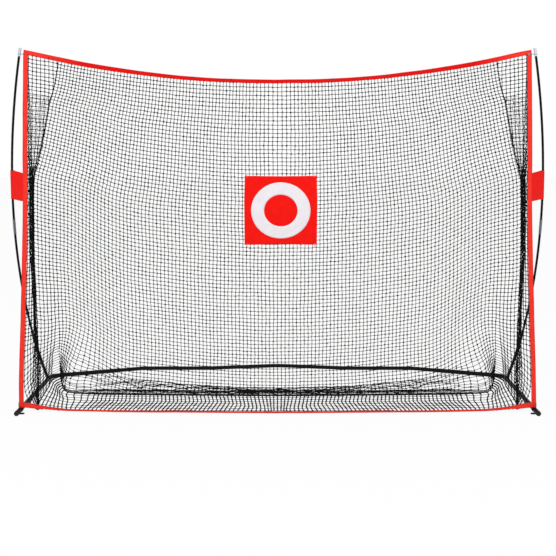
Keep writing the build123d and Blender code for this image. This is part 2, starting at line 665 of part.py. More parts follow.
for hand, side in SIDES:
    with BuildPart() as side_seam:
        with BuildSketch(Plane(origin=at(0, 0, 0))):
            with BuildLine():
                tape = Polyline(*[(side * x, depth) for x, depth in SIDE_SEAM])
            trace(tape, line_width=TAPE_WIDTH)
        extrude(amount=TAPE_THICKNESS)
    save(side_seam.part, f"side_seam_{hand}")

    with BuildPart() as side_net:
        for height, seam_x, seam_depth in SEAM:
            if height == SEAM[0][0]:
                level = TAPE_THICKNESS + SEW_GAP
                front = Vector(SIDE_SEAM[0][0], SIDE_SEAM[0][1])
            else:
                level = height
                front = Vector(border_edge(height) - HALF_BORDER, WEBBING / 2)
            rear = Vector(seam_x, seam_depth)
            along = (rear - front).normalized()
            rear = rear - along * (NET_THICKNESS + SEW_GAP)
            outward = Vector(along.Y, -along.X) * NET_THICKNESS
            corners = [front, rear, rear + outward, front + outward]
            with BuildSketch(Plane(origin=at(0, 0, level))):
                with BuildLine():
                    Polyline(*[(side * corner.X, corner.Y) for corner in corners], close=True)
                make_face()
        loft(ruled=True)
    save(side_net.part, f"side_net_{hand}")

    corner = at(side * CORNER_X, CORNER_DEPTH, AXIS_HEIGHT)
    rail_way = (at(side * RAIL_KNEE_X, RAIL_DEPTH, AXIS_HEIGHT) - corner).normalized()
    strap_place = corner + rail_way * ((CORNER_X - STRAP_X - LOOP_WIDTH / 2) / abs(rail_way.X))
    tail_back = strap_place.Y
    tail_front = MOUTH_Y + SEAM[0][2] + NET_THICKNESS + SEW_GAP
    with BuildPart() as rear_strap:
        with BuildSketch(Plane(origin=strap_place, z_dir=rail_way)):
            Circle(TUBE_R + LOOP_THICKNESS)
        extrude(amount=LOOP_WIDTH)
        with BuildSketch(Plane(origin=(side * STRAP_X, (tail_back + tail_front) / 2, 0))):
            Rectangle(LOOP_WIDTH, tail_back - tail_front)
        extrude(amount=LOOP_THICKNESS)
        with BuildSketch(Plane(origin=corner, z_dir=rail_way)):
            Circle(TUBE_R)
        extrude(amount=CORNER_X - ELBOW_END_X, mode=Mode.SUBTRACT)
    save(rear_strap.part, f"rear_strap_{hand}")

# ---- target ------------------------------------------------------------------------------------------------
reach = TARGET_SIZE / 2
lean = atan2(net_depth(0, TARGET_HEIGHT - reach) - net_depth(0, TARGET_HEIGHT + reach), TARGET_SIZE)
chord = (net_depth(0, TARGET_HEIGHT - reach) + net_depth(0, TARGET_HEIGHT + reach)) / 2
to_player = Vector(0, -cos(lean), -sin(lean))
target_plane = Plane(
    origin=at(TARGET_X, chord, TARGET_HEIGHT) + to_player * TARGET_GAP, x_dir=(1, 0, 0), z_dir=to_player
)
with BuildPart() as target_panel:
    with BuildSketch(target_plane):
        Rectangle(TARGET_SIZE, TARGET_SIZE)
    extrude(amount=PANEL_THICKNESS)
save(target_panel.part, "target_panel")

with BuildPart() as target_ring:
    with BuildSketch(target_plane.offset(PANEL_THICKNESS)):
        Circle(RING_OUTER / 2)
        Circle(RING_INNER / 2, mode=Mode.SUBTRACT)
    extrude(amount=APPLIQUE)
save(target_ring.part, "target_ring")

tie_plane = target_plane.offset(PANEL_THICKNESS / 2)
with BuildPart() as target_ties:
    for across_x in (-1, 1):
        for up in (-1, 1):
            corner = tie_plane.from_local_coords((across_x * (reach - TIE_INSET), up * reach))
            with BuildSketch(Plane(origin=corner, z_dir=tie_plane.y_dir * up)):
                Circle(TIE_OD / 2)
            extrude(amount=TIE_LENGTH)
save(target_ties.part, "target_ties")
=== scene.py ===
import math
import random

import bmesh
import bpy
from bpy.props import FloatProperty, FloatVectorProperty, IntProperty, PointerProperty
from mathutils import Matrix, Vector, noise


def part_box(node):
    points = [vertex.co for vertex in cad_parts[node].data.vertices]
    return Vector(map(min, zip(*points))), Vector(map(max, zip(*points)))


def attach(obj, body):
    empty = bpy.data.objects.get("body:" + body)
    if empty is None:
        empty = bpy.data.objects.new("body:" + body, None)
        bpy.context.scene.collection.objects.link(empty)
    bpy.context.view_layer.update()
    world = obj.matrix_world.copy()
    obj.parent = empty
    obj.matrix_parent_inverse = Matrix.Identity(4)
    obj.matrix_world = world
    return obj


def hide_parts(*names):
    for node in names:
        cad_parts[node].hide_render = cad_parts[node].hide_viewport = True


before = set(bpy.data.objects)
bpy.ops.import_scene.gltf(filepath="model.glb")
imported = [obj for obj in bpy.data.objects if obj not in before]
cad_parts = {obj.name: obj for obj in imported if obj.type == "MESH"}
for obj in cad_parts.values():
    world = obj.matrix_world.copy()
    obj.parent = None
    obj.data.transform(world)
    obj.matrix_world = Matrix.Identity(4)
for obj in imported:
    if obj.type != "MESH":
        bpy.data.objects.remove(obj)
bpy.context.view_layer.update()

noise.seed_set(2)  # so that the netting strays the same way in every run

bl_info = {
    "name": "Golf Practice Net",
    "version": (1, 0, 0),
    "blender": (4, 5, 0),
    "location": "View3D > Sidebar > Golf Net",
    "description": "Builds the netting, webbing, target and finishes of a golf practice net around its frame",
    "category": "Add Mesh",
}

# ---- places and sizes ----
MM = 0.001
FRAME_BODY = "frame"
TARGET_BODY = "target"
SIDES = (("left", -1), ("right", 1))
ACROSS, DEEP, UP = Vector((1, 0, 0)), Vector((0, 1, 0)), Vector((0, 0, 1))

top_low, top_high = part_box("top_border")
MOUTH_Y = (top_low.y + top_high.y) / 2
CORNER_X = top_high.x
BORDER_WIDTH = 28 * MM
BORDER_HALF = BORDER_WIDTH / 2
BORDER_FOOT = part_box("right_border")[0].z
BORDER_GAP = 2 * MM           # between the side net's first column and the border's inner edge
NET_DEPTH = 0.004             # how far behind the mouth the nets are sewn on
STRAP_WIDTH = 20 * MM
TUBE_R = 14 * MM
TUBE_CENTRE = 15 * MM         # height of the ground frame's tubes
STITCHES = (11 * MM, 3.2 * MM)  # the border's rows of stitches: distance from its middle, and spacing

GROUND = 2.5 * MM             # height of the lowest threads before they stray
LOWEST = 2 * MM               # their lowest height after it
CHEVRON = 24 * MM             # how far the floor net's threads bow toward the middle
FLOOR_X, FLOOR_Y, FLOOR_Z = 1.414, 0.012, 0.005  # front corner of the floor net, behind the mouth
HANG = 0.925                  # share of the back net's middle line that hangs, the rest lying on the ground
FOLD_START = 0.87             # share of its rows that hang
FOLD_TURNS = 120              # how fast the folds follow each other down its rows
BAG_SHARE = 0.91              # share of its half width from its middle to the bag's rear corner
SIDE_FOOT = 0.15              # share of the side seam that holds the side net, the rest holding the back net
FLOOR_TWINE = 2.8 * MM        # the floor net's cross bars, drawn thin
FLOOR_BAR_R = 3.8 * MM        # radius of the floor net's closed bars
BUNCH_TWINE = 2.5 * MM
TUCK_TWINE = 3.0 * MM
TUCK_TOP, TUCK_DROP = 1.86, 0.50  # height where the tucked slack starts, and how far it reaches down

TARGET_SIZE = 445 * MM
TARGET_HALF = TARGET_SIZE / 2
HEM = 13 * MM                 # width of the target's turned hem
RING_BORE = 204 / 362         # the ring's inner width over its outer
target_low, target_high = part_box("target_panel")
TARGET_LEAN = math.asin(min(1.0, (target_high.y - target_low.y - 2 * MM) / TARGET_SIZE))

VIEW = 5.0                    # metres from the player's eye to the mouth
EYE_HEIGHT = 1.5
LENS, SENSOR = 55.04, 36.0    # millimetres
SHIFT_X, SHIFT_Y = 0.0009, -0.2167
ROOM_LIGHT = 0.62             # strength of the world as light
PAPER_GLOW = 0.93             # share of the floor that shows as plain white
STUDIO_HALF = 60.0            # half the width of the studio floor
# name, place, turn in degrees, size and power
LAMPS = (
    ("key_panel", (-2.2, -5.5, 5.5), (50, 0, -20), 4.5, 215.0),
    ("fill_panel", (3.2, -5.0, 4.0), (55, 0, 32), 4.0, 76.0),
)

# edge of the back net down its side: x, depth behind the mouth, height
SIDE_EDGE = (
    (1.290, 0.004, 2.074), (1.309, 0.020, 1.970), (1.326, 0.030, 1.899), (1.352, 0.045, 1.829),
    (1.369, 0.060, 1.753), (1.387, 0.070, 1.670), (1.407, 0.078, 1.572), (1.432, 0.083, 1.473),
    (1.450, 0.086, 1.407), (1.458, 0.088, 1.306), (1.458, 0.095, 0.946), (1.455, 0.100, 0.795),
    (1.450, 0.105, 0.674), (1.445, 0.115, 0.492), (1.441, 0.120, 0.371), (1.436, 0.130, 0.218),
    (1.430, 0.140, 0.094), (1.428, 0.145, 0.014),
)
# how deep the bag of the back net reaches beside its edge, by height
BAG_DEPTH = (
    (0.030, 0.690), (0.276, 0.600), (0.500, 0.480), (0.860, 0.300), (1.230, 0.170), (1.390, 0.110),
    (1.635, 0.080), (1.780, 0.058), (2.074, 0.004),
)
# the back net on the middle plane, from the border down to the ground and forward to the lashing
MIDDLE_EDGE = (
    (0.0, 0.004, 1.938), (0.0, 0.070, 1.640), (0.0, 0.172, 1.240), (0.0, 0.318, 0.700), (0.0, 0.425, 0.276),
    (0.0, 0.500, 0.060), (0.0, 0.506, 0.012), (0.0, 0.440, 0.009), (0.0, 0.330, 0.009),
)
# the lashing along the ground between the back net and the floor net, from the middle to the corner
FLOOR_SEAM = (
    (0.000, 0.330, 0.009), (0.700, 0.347, 0.009), (1.119, 0.368, 0.009), (1.300, 0.392, 0.009),
    (1.360, 0.440, 0.009), (1.392, 0.510, 0.010), (1.425, 0.615, 0.011), (1.445, 0.675, 0.016),
    (1.462, 0.715, 0.030),
)
# the lashing from the mouth to the corner, which holds the side net and then the back net
SIDE_SEAM = (
    (1.420, 0.040, 0.008), (1.444, 0.124, 0.008), (1.467, 0.317, 0.008), (1.482, 0.478, 0.009),
    (1.488, 0.550, 0.013), (1.496, 0.650, 0.022), (1.462, 0.715, 0.030),
)
# where the slack of the netting is gathered into a hanging roll: x, depth behind the mouth, height
SIDE_GATHER = (
    (1.4676, 0.012, 1.969), (1.4676, 0.020, 1.840), (1.4696, 0.035, 1.722), (1.4733, 0.060, 1.545),
    (1.4704, 0.070, 1.396), (1.4705, 0.073, 1.246), (1.4708, 0.080, 0.947), (1.4627, 0.085, 0.797),
    (1.4581, 0.090, 0.677), (1.4538, 0.100, 0.495), (1.4505, 0.104, 0.374), (1.4520, 0.106, 0.221),
    (1.4560, 0.108, 0.098), (1.4600, 0.110, 0.022),
)
# the roll by height: how far its strands lie from its middle, and their radius
GATHER_REACH = (
    (0.02, 0.034), (0.16, 0.028), (0.34, 0.0115), (0.80, 0.0095), (0.97, 0.0118), (1.40, 0.0118),
    (1.54, 0.012), (1.72, 0.011), (1.84, 0.007), (1.97, 0.002),
)
GATHER_STRAND = (
    (0.02, 0.0010), (0.16, 0.0013), (0.34, 0.0026), (0.80, 0.0032), (0.97, 0.0036), (1.40, 0.0034),
    (1.54, 0.0019), (1.72, 0.0013), (1.84, 0.0010), (1.97, 0.0008),
)
# middle of the border's webbing: x and height along the top, height and x up the side, x and height along
# the ground, and x and how far the webbing stands up there, in degrees
TOP_LINE = (
    (0.000, 1.9476), (0.279, 1.9526), (0.5735, 1.9715), (0.868, 2.0055), (1.162, 2.0520), (1.309, 2.0818),
    (1.456, 2.1140), (1.496, 2.1205),
)
SIDE_LINE = (
    (0.030, 1.5065), (0.191, 1.5065), (0.338, 1.5030), (0.485, 1.4985), (0.779, 1.4912), (1.0735, 1.4859),
    (1.2206, 1.4841), (1.662, 1.4850), (2.129, 1.4810),
)
GROUND_LINE = (
    (0.0, 0.0034), (0.338, 0.005), (0.515, 0.0070), (0.868, 0.0070), (1.044, 0.0085), (1.138, 0.0103),
    (1.232, 0.0135), (1.3265, 0.0220), (1.4206, 0.0335), (1.4676, 0.0412), (1.510, 0.0440),
)
GROUND_STAND = ((0.0, 4.0), (1.1, 3.0), (1.18, 3.0), (1.31, 11.0), (1.40, 27.0), (1.47, 75.0), (1.51, 88.0))


def linear(value):
    """An sRGB hex colour as the linear RGBA that sockets take."""
    parts = [(value >> shift & 255) / 255 for shift in (16, 8, 0)]
    return (*[c / 12.92 if c <= 0.04045 else ((c + 0.055) / 1.055) ** 2.4 for c in parts], 1.0)


# ---- settings ----
LENGTH = {"unit": "LENGTH"}
COLOUR = {"subtype": "COLOR", "size": 4}


class NetSettings(bpy.types.PropertyGroup):
    """Sizes of the netting"""

    mesh_pitch: FloatProperty(
        name="Mesh Pitch", description="Knot to knot distance", default=24 * MM, **LENGTH
    )
    twine: FloatProperty(name="Twine", description="Diameter of the twine", default=4.8 * MM, **LENGTH)
    knot: FloatProperty(name="Knot", description="Diameter of a knot", default=12.4 * MM, **LENGTH)
    back_columns: IntProperty(name="Back Columns", description="Meshes across the back net", default=130)
    back_rows: IntProperty(name="Back Rows", description="Meshes down the back net", default=92)
    side_columns: IntProperty(
        name="Side Columns", description="Meshes across a side net at its widest", default=8
    )
    floor_columns: IntProperty(name="Floor Columns", description="Meshes across the floor net", default=116)
    floor_rows: IntProperty(
        name="Floor Rows", description="Meshes, drawn closed, from the mouth to the floor seam", default=7
    )
    unevenness: FloatProperty(
        name="Unevenness", description="How far knots stray from an even net", default=2.6 * MM, **LENGTH
    )
    twine_colour: FloatVectorProperty(
        name="Twine Colour", description="Black polyester twine", default=linear(0x0E0F11), **COLOUR
    )


class WebbingSettings(bpy.types.PropertyGroup):
    """Sizes and colours of the border and the straps"""

    thickness: FloatProperty(
        name="Thickness", description="Thickness of the folded webbing", default=2.0 * MM, **LENGTH
    )
    border_red: FloatVectorProperty(
        name="Border Red", description="Dyed polyester webbing", default=linear(0xF0352A), **COLOUR
    )
    # painted shade: a darker red painted on the top border toward the middle plane, where its webbing turns
    # away from the light
    border_painted_shade: FloatVectorProperty(
        name="Border Deep Red", description="Webbing turned away from the light", default=linear(0xD80A04),
        **COLOUR
    )
    cloth_red: FloatVectorProperty(
        name="Cloth Red", description="Dyed polyester cloth of the tabs and the target",
        default=linear(0xFF140C), **COLOUR
    )
    ring_white: FloatVectorProperty(
        name="Ring White", description="White cloth of the target's ring", default=linear(0xF1ECF1), **COLOUR
    )
    strap_black: FloatVectorProperty(
        name="Strap Black", description="Black polypropylene webbing", default=linear(0x17181A), **COLOUR
    )


class FrameSettings(bpy.types.PropertyGroup):
    """Colours of the poles and the ground frame"""

    powder_coat: FloatVectorProperty(
        name="Powder Coat", description="Black powder coat on the steel tube", default=linear(0x141517),
        **COLOUR
    )
    pole_black: FloatVectorProperty(
        name="Pole Black", description="Black pultruded fibreglass", default=linear(0x070708), **COLOUR
    )
    ferrule_grey: FloatVectorProperty(
        name="Ferrule Grey", description="Phosphated steel of the middle ferrules", default=linear(0x7D828C),
        **COLOUR
    )
    zinc: FloatVectorProperty(
        name="Zinc", description="Bright zinc plating", default=linear(0xC9CFD8), **COLOUR
    )


# ---- materials ----
def add_node(tree, kind, links=None, values=None, stops=(), **properties):
    """Adds a node with its properties, socket values, incoming links and, on a ramp, its stops.

    A link comes from a socket, or from a node, which stands for its first output."""
    node = tree.nodes.new(kind)
    for name, value in properties.items():
        setattr(node, name, value)
    for socket, value in (values or {}).items():
        node.inputs[socket].default_value = value
    for socket, source in (links or {}).items():
        output = source.outputs[0] if isinstance(source, bpy.types.Node) else source
        tree.links.new(output, node.inputs[socket])
    for index, (place, colour) in enumerate(stops):
        node.color_ramp.elements[index].position = place
        node.color_ramp.elements[index].color = colour
    return node


def new_material(name):
    """A new material, its empty node tree and the coordinates of its object."""
    material = bpy.data.materials.new(name)
    material.use_nodes = True
    tree = material.node_tree
    tree.nodes.clear()
    return material, tree, add_node(tree, "ShaderNodeTexCoord").outputs["Object"]


def shaded(material, links, values):
    """Gives a material a Principled shader with its links and values."""
    shader = add_node(material.node_tree, "ShaderNodeBsdfPrincipled", links, values)
    add_node(material.node_tree, "ShaderNodeOutputMaterial", {"Surface": shader})
    return material


def tint(colour, gain):
    """A linear colour made lighter or darker."""
    return (*[min(1.0, c * gain) for c in colour[:3]], 1.0)


def powder_coat_steel(colour):
    """Baked black powder coat: satin, with fine orange peel and a few dusty scuffs."""
    material, tree, place = new_material("powder_coated_steel_tube")
    scuffs = add_node(
        tree, "ShaderNodeTexNoise", {"Vector": place}, {"Scale": 9.0, "Detail": 6.0, "Roughness": 0.65}
    )
    dust = ((0.38, tint(colour, 0.75)), (0.72, tint(colour, 1.5)))
    look = add_node(tree, "ShaderNodeValToRGB", {"Fac": scuffs}, stops=dust)
    rough = add_node(tree, "ShaderNodeMapRange", {"Value": scuffs}, {"To Min": 0.34, "To Max": 0.52})
    peel = add_node(tree, "ShaderNodeTexNoise", {"Vector": place}, {"Scale": 1 / (1.6 * MM), "Detail": 2.0})
    bump = add_node(tree, "ShaderNodeBump", {"Height": peel}, {"Strength": 0.18, "Distance": 0.15 * MM})
    return shaded(
        material, {"Base Color": look, "Roughness": rough, "Normal": bump}, {"Specular IOR Level": 0.09}
    )


def pultruded_fibreglass(colour):
    """Pultruded fibreglass tube: satin black resin with faint fibre streaks along its length."""
    material, tree, place = new_material("pultruded_fibreglass_black")
    along = add_node(tree, "ShaderNodeMapping", {"Vector": place}, {"Scale": (700.0, 700.0, 6.0)})
    streaks = add_node(tree, "ShaderNodeTexNoise", {"Vector": along}, {"Scale": 1.0, "Detail": 3.0})
    resin = ((0.3, tint(colour, 0.6)), (0.7, tint(colour, 1.7)))
    look = add_node(tree, "ShaderNodeValToRGB", {"Fac": streaks}, stops=resin)
    bump = add_node(tree, "ShaderNodeBump", {"Height": streaks}, {"Strength": 0.12, "Distance": 0.1 * MM})
    return shaded(
        material, {"Base Color": look, "Normal": bump}, {"Roughness": 0.42, "Specular IOR Level": 0.08}
    )


def plated_steel(name, colour, roughness, grain):
    """Drawn steel with a plated or phosphated skin: metallic, with fine spangle and handling marks."""
    material, tree, place = new_material(name)
    spangle = add_node(tree, "ShaderNodeTexNoise", {"Vector": place}, {"Scale": 1 / grain, "Detail": 4.0})
    skin = ((0.3, tint(colour, 0.8)), (0.7, tint(colour, 1.12)))
    look = add_node(tree, "ShaderNodeValToRGB", {"Fac": spangle}, stops=skin)
    marks = {"To Min": roughness - 0.07, "To Max": roughness + 0.1}
    rough = add_node(tree, "ShaderNodeMapRange", {"Value": spangle}, marks)
    return shaded(material, {"Base Color": look, "Roughness": rough}, {"Metallic": 1.0})


def moulded_cap():
    """Moulded black polyethylene: matte, with a fine sparked texture."""
    material, tree, place = new_material("moulded_polyethylene_cap")
    spark = add_node(tree, "ShaderNodeTexNoise", {"Vector": place}, {"Scale": 1 / (0.9 * MM), "Detail": 3.0})
    blacks = ((0.3, linear(0x0E0F12)), (0.7, linear(0x1A1C20)))
    look = add_node(tree, "ShaderNodeValToRGB", {"Fac": spark}, stops=blacks)
    bump = add_node(tree, "ShaderNodeBump", {"Height": spark}, {"Strength": 0.3, "Distance": 0.2 * MM})
    return shaded(
        material, {"Base Color": look, "Normal": bump}, {"Roughness": 0.6, "Specular IOR Level": 0.25}
    )


def braided_twine(colour):
    """Braided polyester twine: dull black with paler fuzz, knot to knot; the paler patches are partly the
    fuzz and partly a painted highlight.
    """
    material, tree, place = new_material("braided_polyester_twine")
    # partly real fuzz and partly a painted highlight: patches up to 1.8 times the twine colour
    fuzz_and_highlight = add_node(tree, "ShaderNodeTexNoise", {"Vector": place}, {"Scale": 1 / (14 * MM), "Detail": 4.0})
    fibre_tones_and_highlight = ((0.3, tint(colour, 0.6)), (0.7, tint(colour, 1.8)))
    look = add_node(tree, "ShaderNodeValToRGB", {"Fac": fuzz_and_highlight}, stops=fibre_tones_and_highlight)
    braid = add_node(tree, "ShaderNodeTexNoise", {"Vector": place}, {"Scale": 1 / (0.7 * MM), "Detail": 1.0})
    bump = add_node(tree, "ShaderNodeBump", {"Height": braid}, {"Strength": 0.4, "Distance": 0.3 * MM})
    return shaded(
        material, {"Base Color": look, "Normal": bump}, {"Roughness": 0.8, "Specular IOR Level": 0.1}
    )


def stitch_mask(tree, axes, inset, pitch):
    """1 on two rows of stitches that run along Y at inset each side of the middle, 0 elsewhere."""
    across = add_node(tree, "ShaderNodeMath", {0: axes.outputs["X"]}, operation="ABSOLUTE")
    off = add_node(tree, "ShaderNodeMath", {0: across}, {1: inset}, operation="SUBTRACT")
    near = add_node(tree, "ShaderNodeMath", {0: off}, operation="ABSOLUTE")
    row = add_node(tree, "ShaderNodeMath", {0: near}, {1: 0.7 * MM}, operation="LESS_THAN")
    beat = add_node(tree, "ShaderNodeMath", {0: axes.outputs["Y"]}, {1: 1 / pitch}, operation="MULTIPLY")
    part = add_node(tree, "ShaderNodeMath", {0: beat}, operation="FRACT")
    on = add_node(tree, "ShaderNodeMath", {0: part}, {1: 0.7}, operation="LESS_THAN")
    return add_node(tree, "ShaderNodeMath", {0: row, 1: on}, operation="MULTIPLY")


def woven(name, colour, thread, spread=0.12, stitches=None, painted_shade_colour=None):
    """Plain-woven cloth or webbing.  Its UV map is in metres, and thread is the spacing of its yarns.

    Its last argument is a painted shade: a darker colour painted toward the middle plane, where the webbing
    turns away from the light."""
    material, tree, place = new_material(name)
    flat = add_node(tree, "ShaderNodeTexCoord").outputs["UV"]
    axes = add_node(tree, "ShaderNodeSeparateXYZ", {"Vector": flat})
    waves = []
    for axis in ("X", "Y"):
        turns = add_node(
            tree, "ShaderNodeMath", {0: axes.outputs[axis]}, {1: math.pi / thread}, operation="MULTIPLY"
        )
        waves.append(add_node(tree, "ShaderNodeMath", {0: turns}, operation="SINE"))
    weave = add_node(tree, "ShaderNodeMath", {0: waves[0], 1: waves[1]}, operation="MULTIPLY")
    relief = add_node(tree, "ShaderNodeMapRange", {"Value": weave}, {"From Min": -1.0})
    dye = add_node(
        tree, "ShaderNodeTexNoise", {"Vector": place}, {"Scale": 28.0, "Detail": 5.0, "Roughness": 0.6}
    )
    batches = ((0.25, tint(colour, 1 - spread)), (0.75, tint(colour, 1 + spread)))
    look = add_node(tree, "ShaderNodeValToRGB", {"Fac": dye}, stops=batches)
    # painted shade: within 1.15 m of the middle plane the colour is painted darker, fading out by 1.42 m
    if painted_shade_colour:
        where = add_node(tree, "ShaderNodeSeparateXYZ", {"Vector": place})
        off = add_node(tree, "ShaderNodeMath", {0: where}, operation="ABSOLUTE")
        turned = add_node(
            tree, "ShaderNodeMapRange", {"Value": off},
            {"From Min": 1.15, "From Max": 1.42, "To Min": 1.0, "To Max": 0.0},
        )
        look = add_node(tree, "ShaderNodeMixRGB", {"Fac": turned, "Color1": look}, {"Color2": painted_shade_colour})
    # painted shade: the dips of the weave are painted darker, down to 0.86 of the colour
    painted_dip_shade = add_node(tree, "ShaderNodeMapRange", {"Value": weave}, {"From Min": -1.0, "To Min": 0.86})
    look = add_node(
        tree, "ShaderNodeMixRGB", {"Color1": look, "Color2": painted_dip_shade}, {"Fac": 1.0}, blend_type="MULTIPLY"
    )
    if stitches:
        mask = stitch_mask(tree, axes, *stitches)
        look = add_node(
            tree, "ShaderNodeMixRGB", {"Fac": mask, "Color1": look}, {"Color2": tint(colour, 0.72)}
        )
        relief = add_node(tree, "ShaderNodeMath", {0: relief, 1: mask}, operation="MAXIMUM")
    bump = add_node(tree, "ShaderNodeBump", {"Height": relief}, {"Strength": 0.5, "Distance": thread * 0.3})
    return shaded(
        material, {"Base Color": look, "Normal": bump},
        {"Roughness": 0.8, "Sheen Weight": 0.02, "Specular IOR Level": 0.1},
    )


# ---- curves and meshes ----
FINISHES = {}  # the materials by their short names, filled by the finishes operator


def smooth_step(low, high, value):
    """0 below low, 1 above high, and a smooth rise between."""
    share = min(max((value - low) / (high - low), 0.0), 1.0)
    return share * share * (3 - 2 * share)


def smooth_table(rows):
    """A smooth line through the rows of a table, as a function of its first column."""
    xs, ys = zip(*rows)
    slopes = [(b - a) / (d - c) for a, b, c, d in zip(ys, ys[1:], xs, xs[1:])]
    tangents = [slopes[0], *[(a + b) / 2 for a, b in zip(slopes, slopes[1:])], slopes[-1]]

    def at(x):
        index = max(0, min(len(xs) - 2, sum(1 for edge in xs[1:-1] if x > edge)))
        span = xs[index + 1] - xs[index]
        s = min(max((x - xs[index]) / span, 0.0), 1.0)
        start, end = ys[index], ys[index + 1]
        return (
            start * (1 + 2 * s) * (1 - s) ** 2 + end * s * s * (3 - 2 * s)
            + span * s * (1 - s) * (tangents[index] * (1 - s) - tangents[index + 1] * s)
        )

    return at


def spline_through(points, steps=24):
    """A smooth line through points, as a function of the share of its length."""
    knots = [Vector(point) for point in points]
    ends = [2 * knots[0] - knots[1], *knots, 2 * knots[-1] - knots[-2]]
    line = []
    for before, start, end, after in zip(ends, ends[1:], ends[2:], ends[3:]):
        for step in range(steps):
            s = step / steps
            line.append(
                0.5 * (
                    2 * start + (end - before) * s + (2 * before - 5 * start + 4 * end - after) * s**2
                    + (3 * start - before - 3 * end + after) * s**3
                )
            )
    line.append(knots[-1])
    reached = [0.0]
    for a, b in zip(line, line[1:]):
        reached.append(reached[-1] + (b - a).length)

    def at(share):
        wanted = min(max(share, 0.0), 1.0) * reached[-1]
        low, high = 0, len(reached) - 1
        while high - low > 1:
            middle = (low + high) // 2
            low, high = (middle, high) if reached[middle] <= wanted else (low, middle)
        part = (wanted - reached[low]) / max(reached[high] - reached[low], 1e-9)
        return line[low].lerp(line[high], part)

    at.length = reached[-1]
    return at


side_edge = spline_through(SIDE_EDGE)
middle_edge = spline_through(MIDDLE_EDGE)
floor_seam = spline_through(FLOOR_SEAM)
side_seam = spline_through(SIDE_SEAM)
side_gather = spline_through(SIDE_GATHER)
bag_depth = smooth_table(BAG_DEPTH)
gather_reach = smooth_table(GATHER_REACH)
gather_strand = smooth_table(GATHER_STRAND)
top_line = smooth_table(TOP_LINE)
side_line = smooth_table(SIDE_LINE)
ground_line = smooth_table(GROUND_LINE)
ground_stand = smooth_table(GROUND_STAND)


def line_at(line, height):
    """Where a hanging line passes a height."""
    low, high = 0.0, 1.0
    for _ in range(16):
        middle = (low + high) / 2
        low, high = (middle, high) if line(middle).z > height else (low, middle)
    return line(low)


def from_mouth(point, side=1):
    """A point given by x, depth behind the mouth and height, in the part's frame."""
    return Vector((point[0] * side, MOUTH_Y + point[1], point[2]))


def stray(point, scale, amount):
    """A small wander that is the same at the same place."""
    return noise.noise_vector(point * scale) * amount


def mesh_object(name, bm, look, body=FRAME_BODY, smooth=True):
    """Turns a bmesh into a piece with a finish that rides on a body."""
    for face in bm.faces:
        face.smooth = smooth
    mesh = bpy.data.meshes.new(name)
    bm.to_mesh(mesh)
    bm.free()
    mesh.materials.append(FINISHES[look])
    piece = bpy.data.objects.new(name, mesh)
    bpy.context.scene.collection.objects.link(piece)
    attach(piece, body)
    return piece


def add_tubes(bm, runs, radius=1.0, resolution=1, kind="POLY"):
    """Adds a round tube along each run: a list of places, each with its share of the radius."""
    curve = bpy.data.curves.new("tubes", "CURVE")
    curve.dimensions = "3D"
    curve.bevel_depth = radius
    curve.bevel_resolution = resolution
    curve.use_fill_caps = True
    for run in runs:
        spline = curve.splines.new(kind)
        spline.points.add(len(run) - 1)
        for point, (spot, thick) in zip(spline.points, run):
            point.co = (*spot, 1)
            point.radius = thick
        spline.order_u = 3
        spline.use_endpoint_u = True
    holder = bpy.data.objects.new("tubes", curve)
    mesh = bpy.data.meshes.new_from_object(holder)
    bm.from_mesh(mesh)
    bpy.data.objects.remove(holder)
    bpy.data.curves.remove(curve)
    bpy.data.meshes.remove(mesh)


def lay_out(bm, flat_spot, place, thickness):
    """Makes a flat bmesh into cloth: its UV map in metres, its verts put in place, and its thickness."""
    flat = bm.loops.layers.uv.new("Flat")
    for face in bm.faces:
        for loop in face.loops:
            loop[flat].uv = flat_spot(loop.vert.co)
    for vert in bm.verts:
        vert.co = place(vert.co)
    bmesh.ops.recalc_face_normals(bm, faces=bm.faces)
    bmesh.ops.solidify(bm, geom=bm.faces[:], thickness=thickness)
    bmesh.ops.recalc_face_normals(bm, faces=bm.faces)


def netting(name, columns, rows, place, kept=None, twine_width=None):
    """Knotted netting and the places of its knots: a grid laid out by place(u, t), its edges made twine.

    u runs from -1 to 1 across the columns, and t from 0 to 1 down the rows.  kept(u, t) says where the
    netting is before its edge is cut."""
    net = bpy.context.scene.golf_net
    bm = bmesh.new()
    bmesh.ops.create_grid(bm, x_segments=columns, y_segments=rows, size=1.0)
    for vert in bm.verts:
        u, t = vert.co.x, (1 - vert.co.y) / 2
        vert.select = kept is None or kept(u, t)
        spot = place(u, t)
        vert.co = spot + stray(spot, 61.0, net.unevenness)
        vert.co.z = max(vert.co.z, LOWEST)
    beyond = [face for face in bm.faces if not any(vert.select for vert in face.verts)]
    bmesh.ops.delete(bm, geom=beyond, context="FACES")
    bmesh.ops.recalc_face_normals(bm, faces=bm.faces)
    knots = [vert.co.copy() for vert in bm.verts]
    piece = mesh_object(name, bm, "twine")
    twine = piece.modifiers.new("Twine", "WIREFRAME")
    twine.thickness = twine_width or net.twine
    twine.use_even_offset = False
    twine.use_boundary = True
    grid = piece.data
    view = bpy.context.evaluated_depsgraph_get()
    baked = bpy.data.meshes.new_from_object(piece.evaluated_get(view))
    piece.modifiers.clear()
    piece.data = baked
    bpy.data.meshes.remove(grid)
    return piece, knots


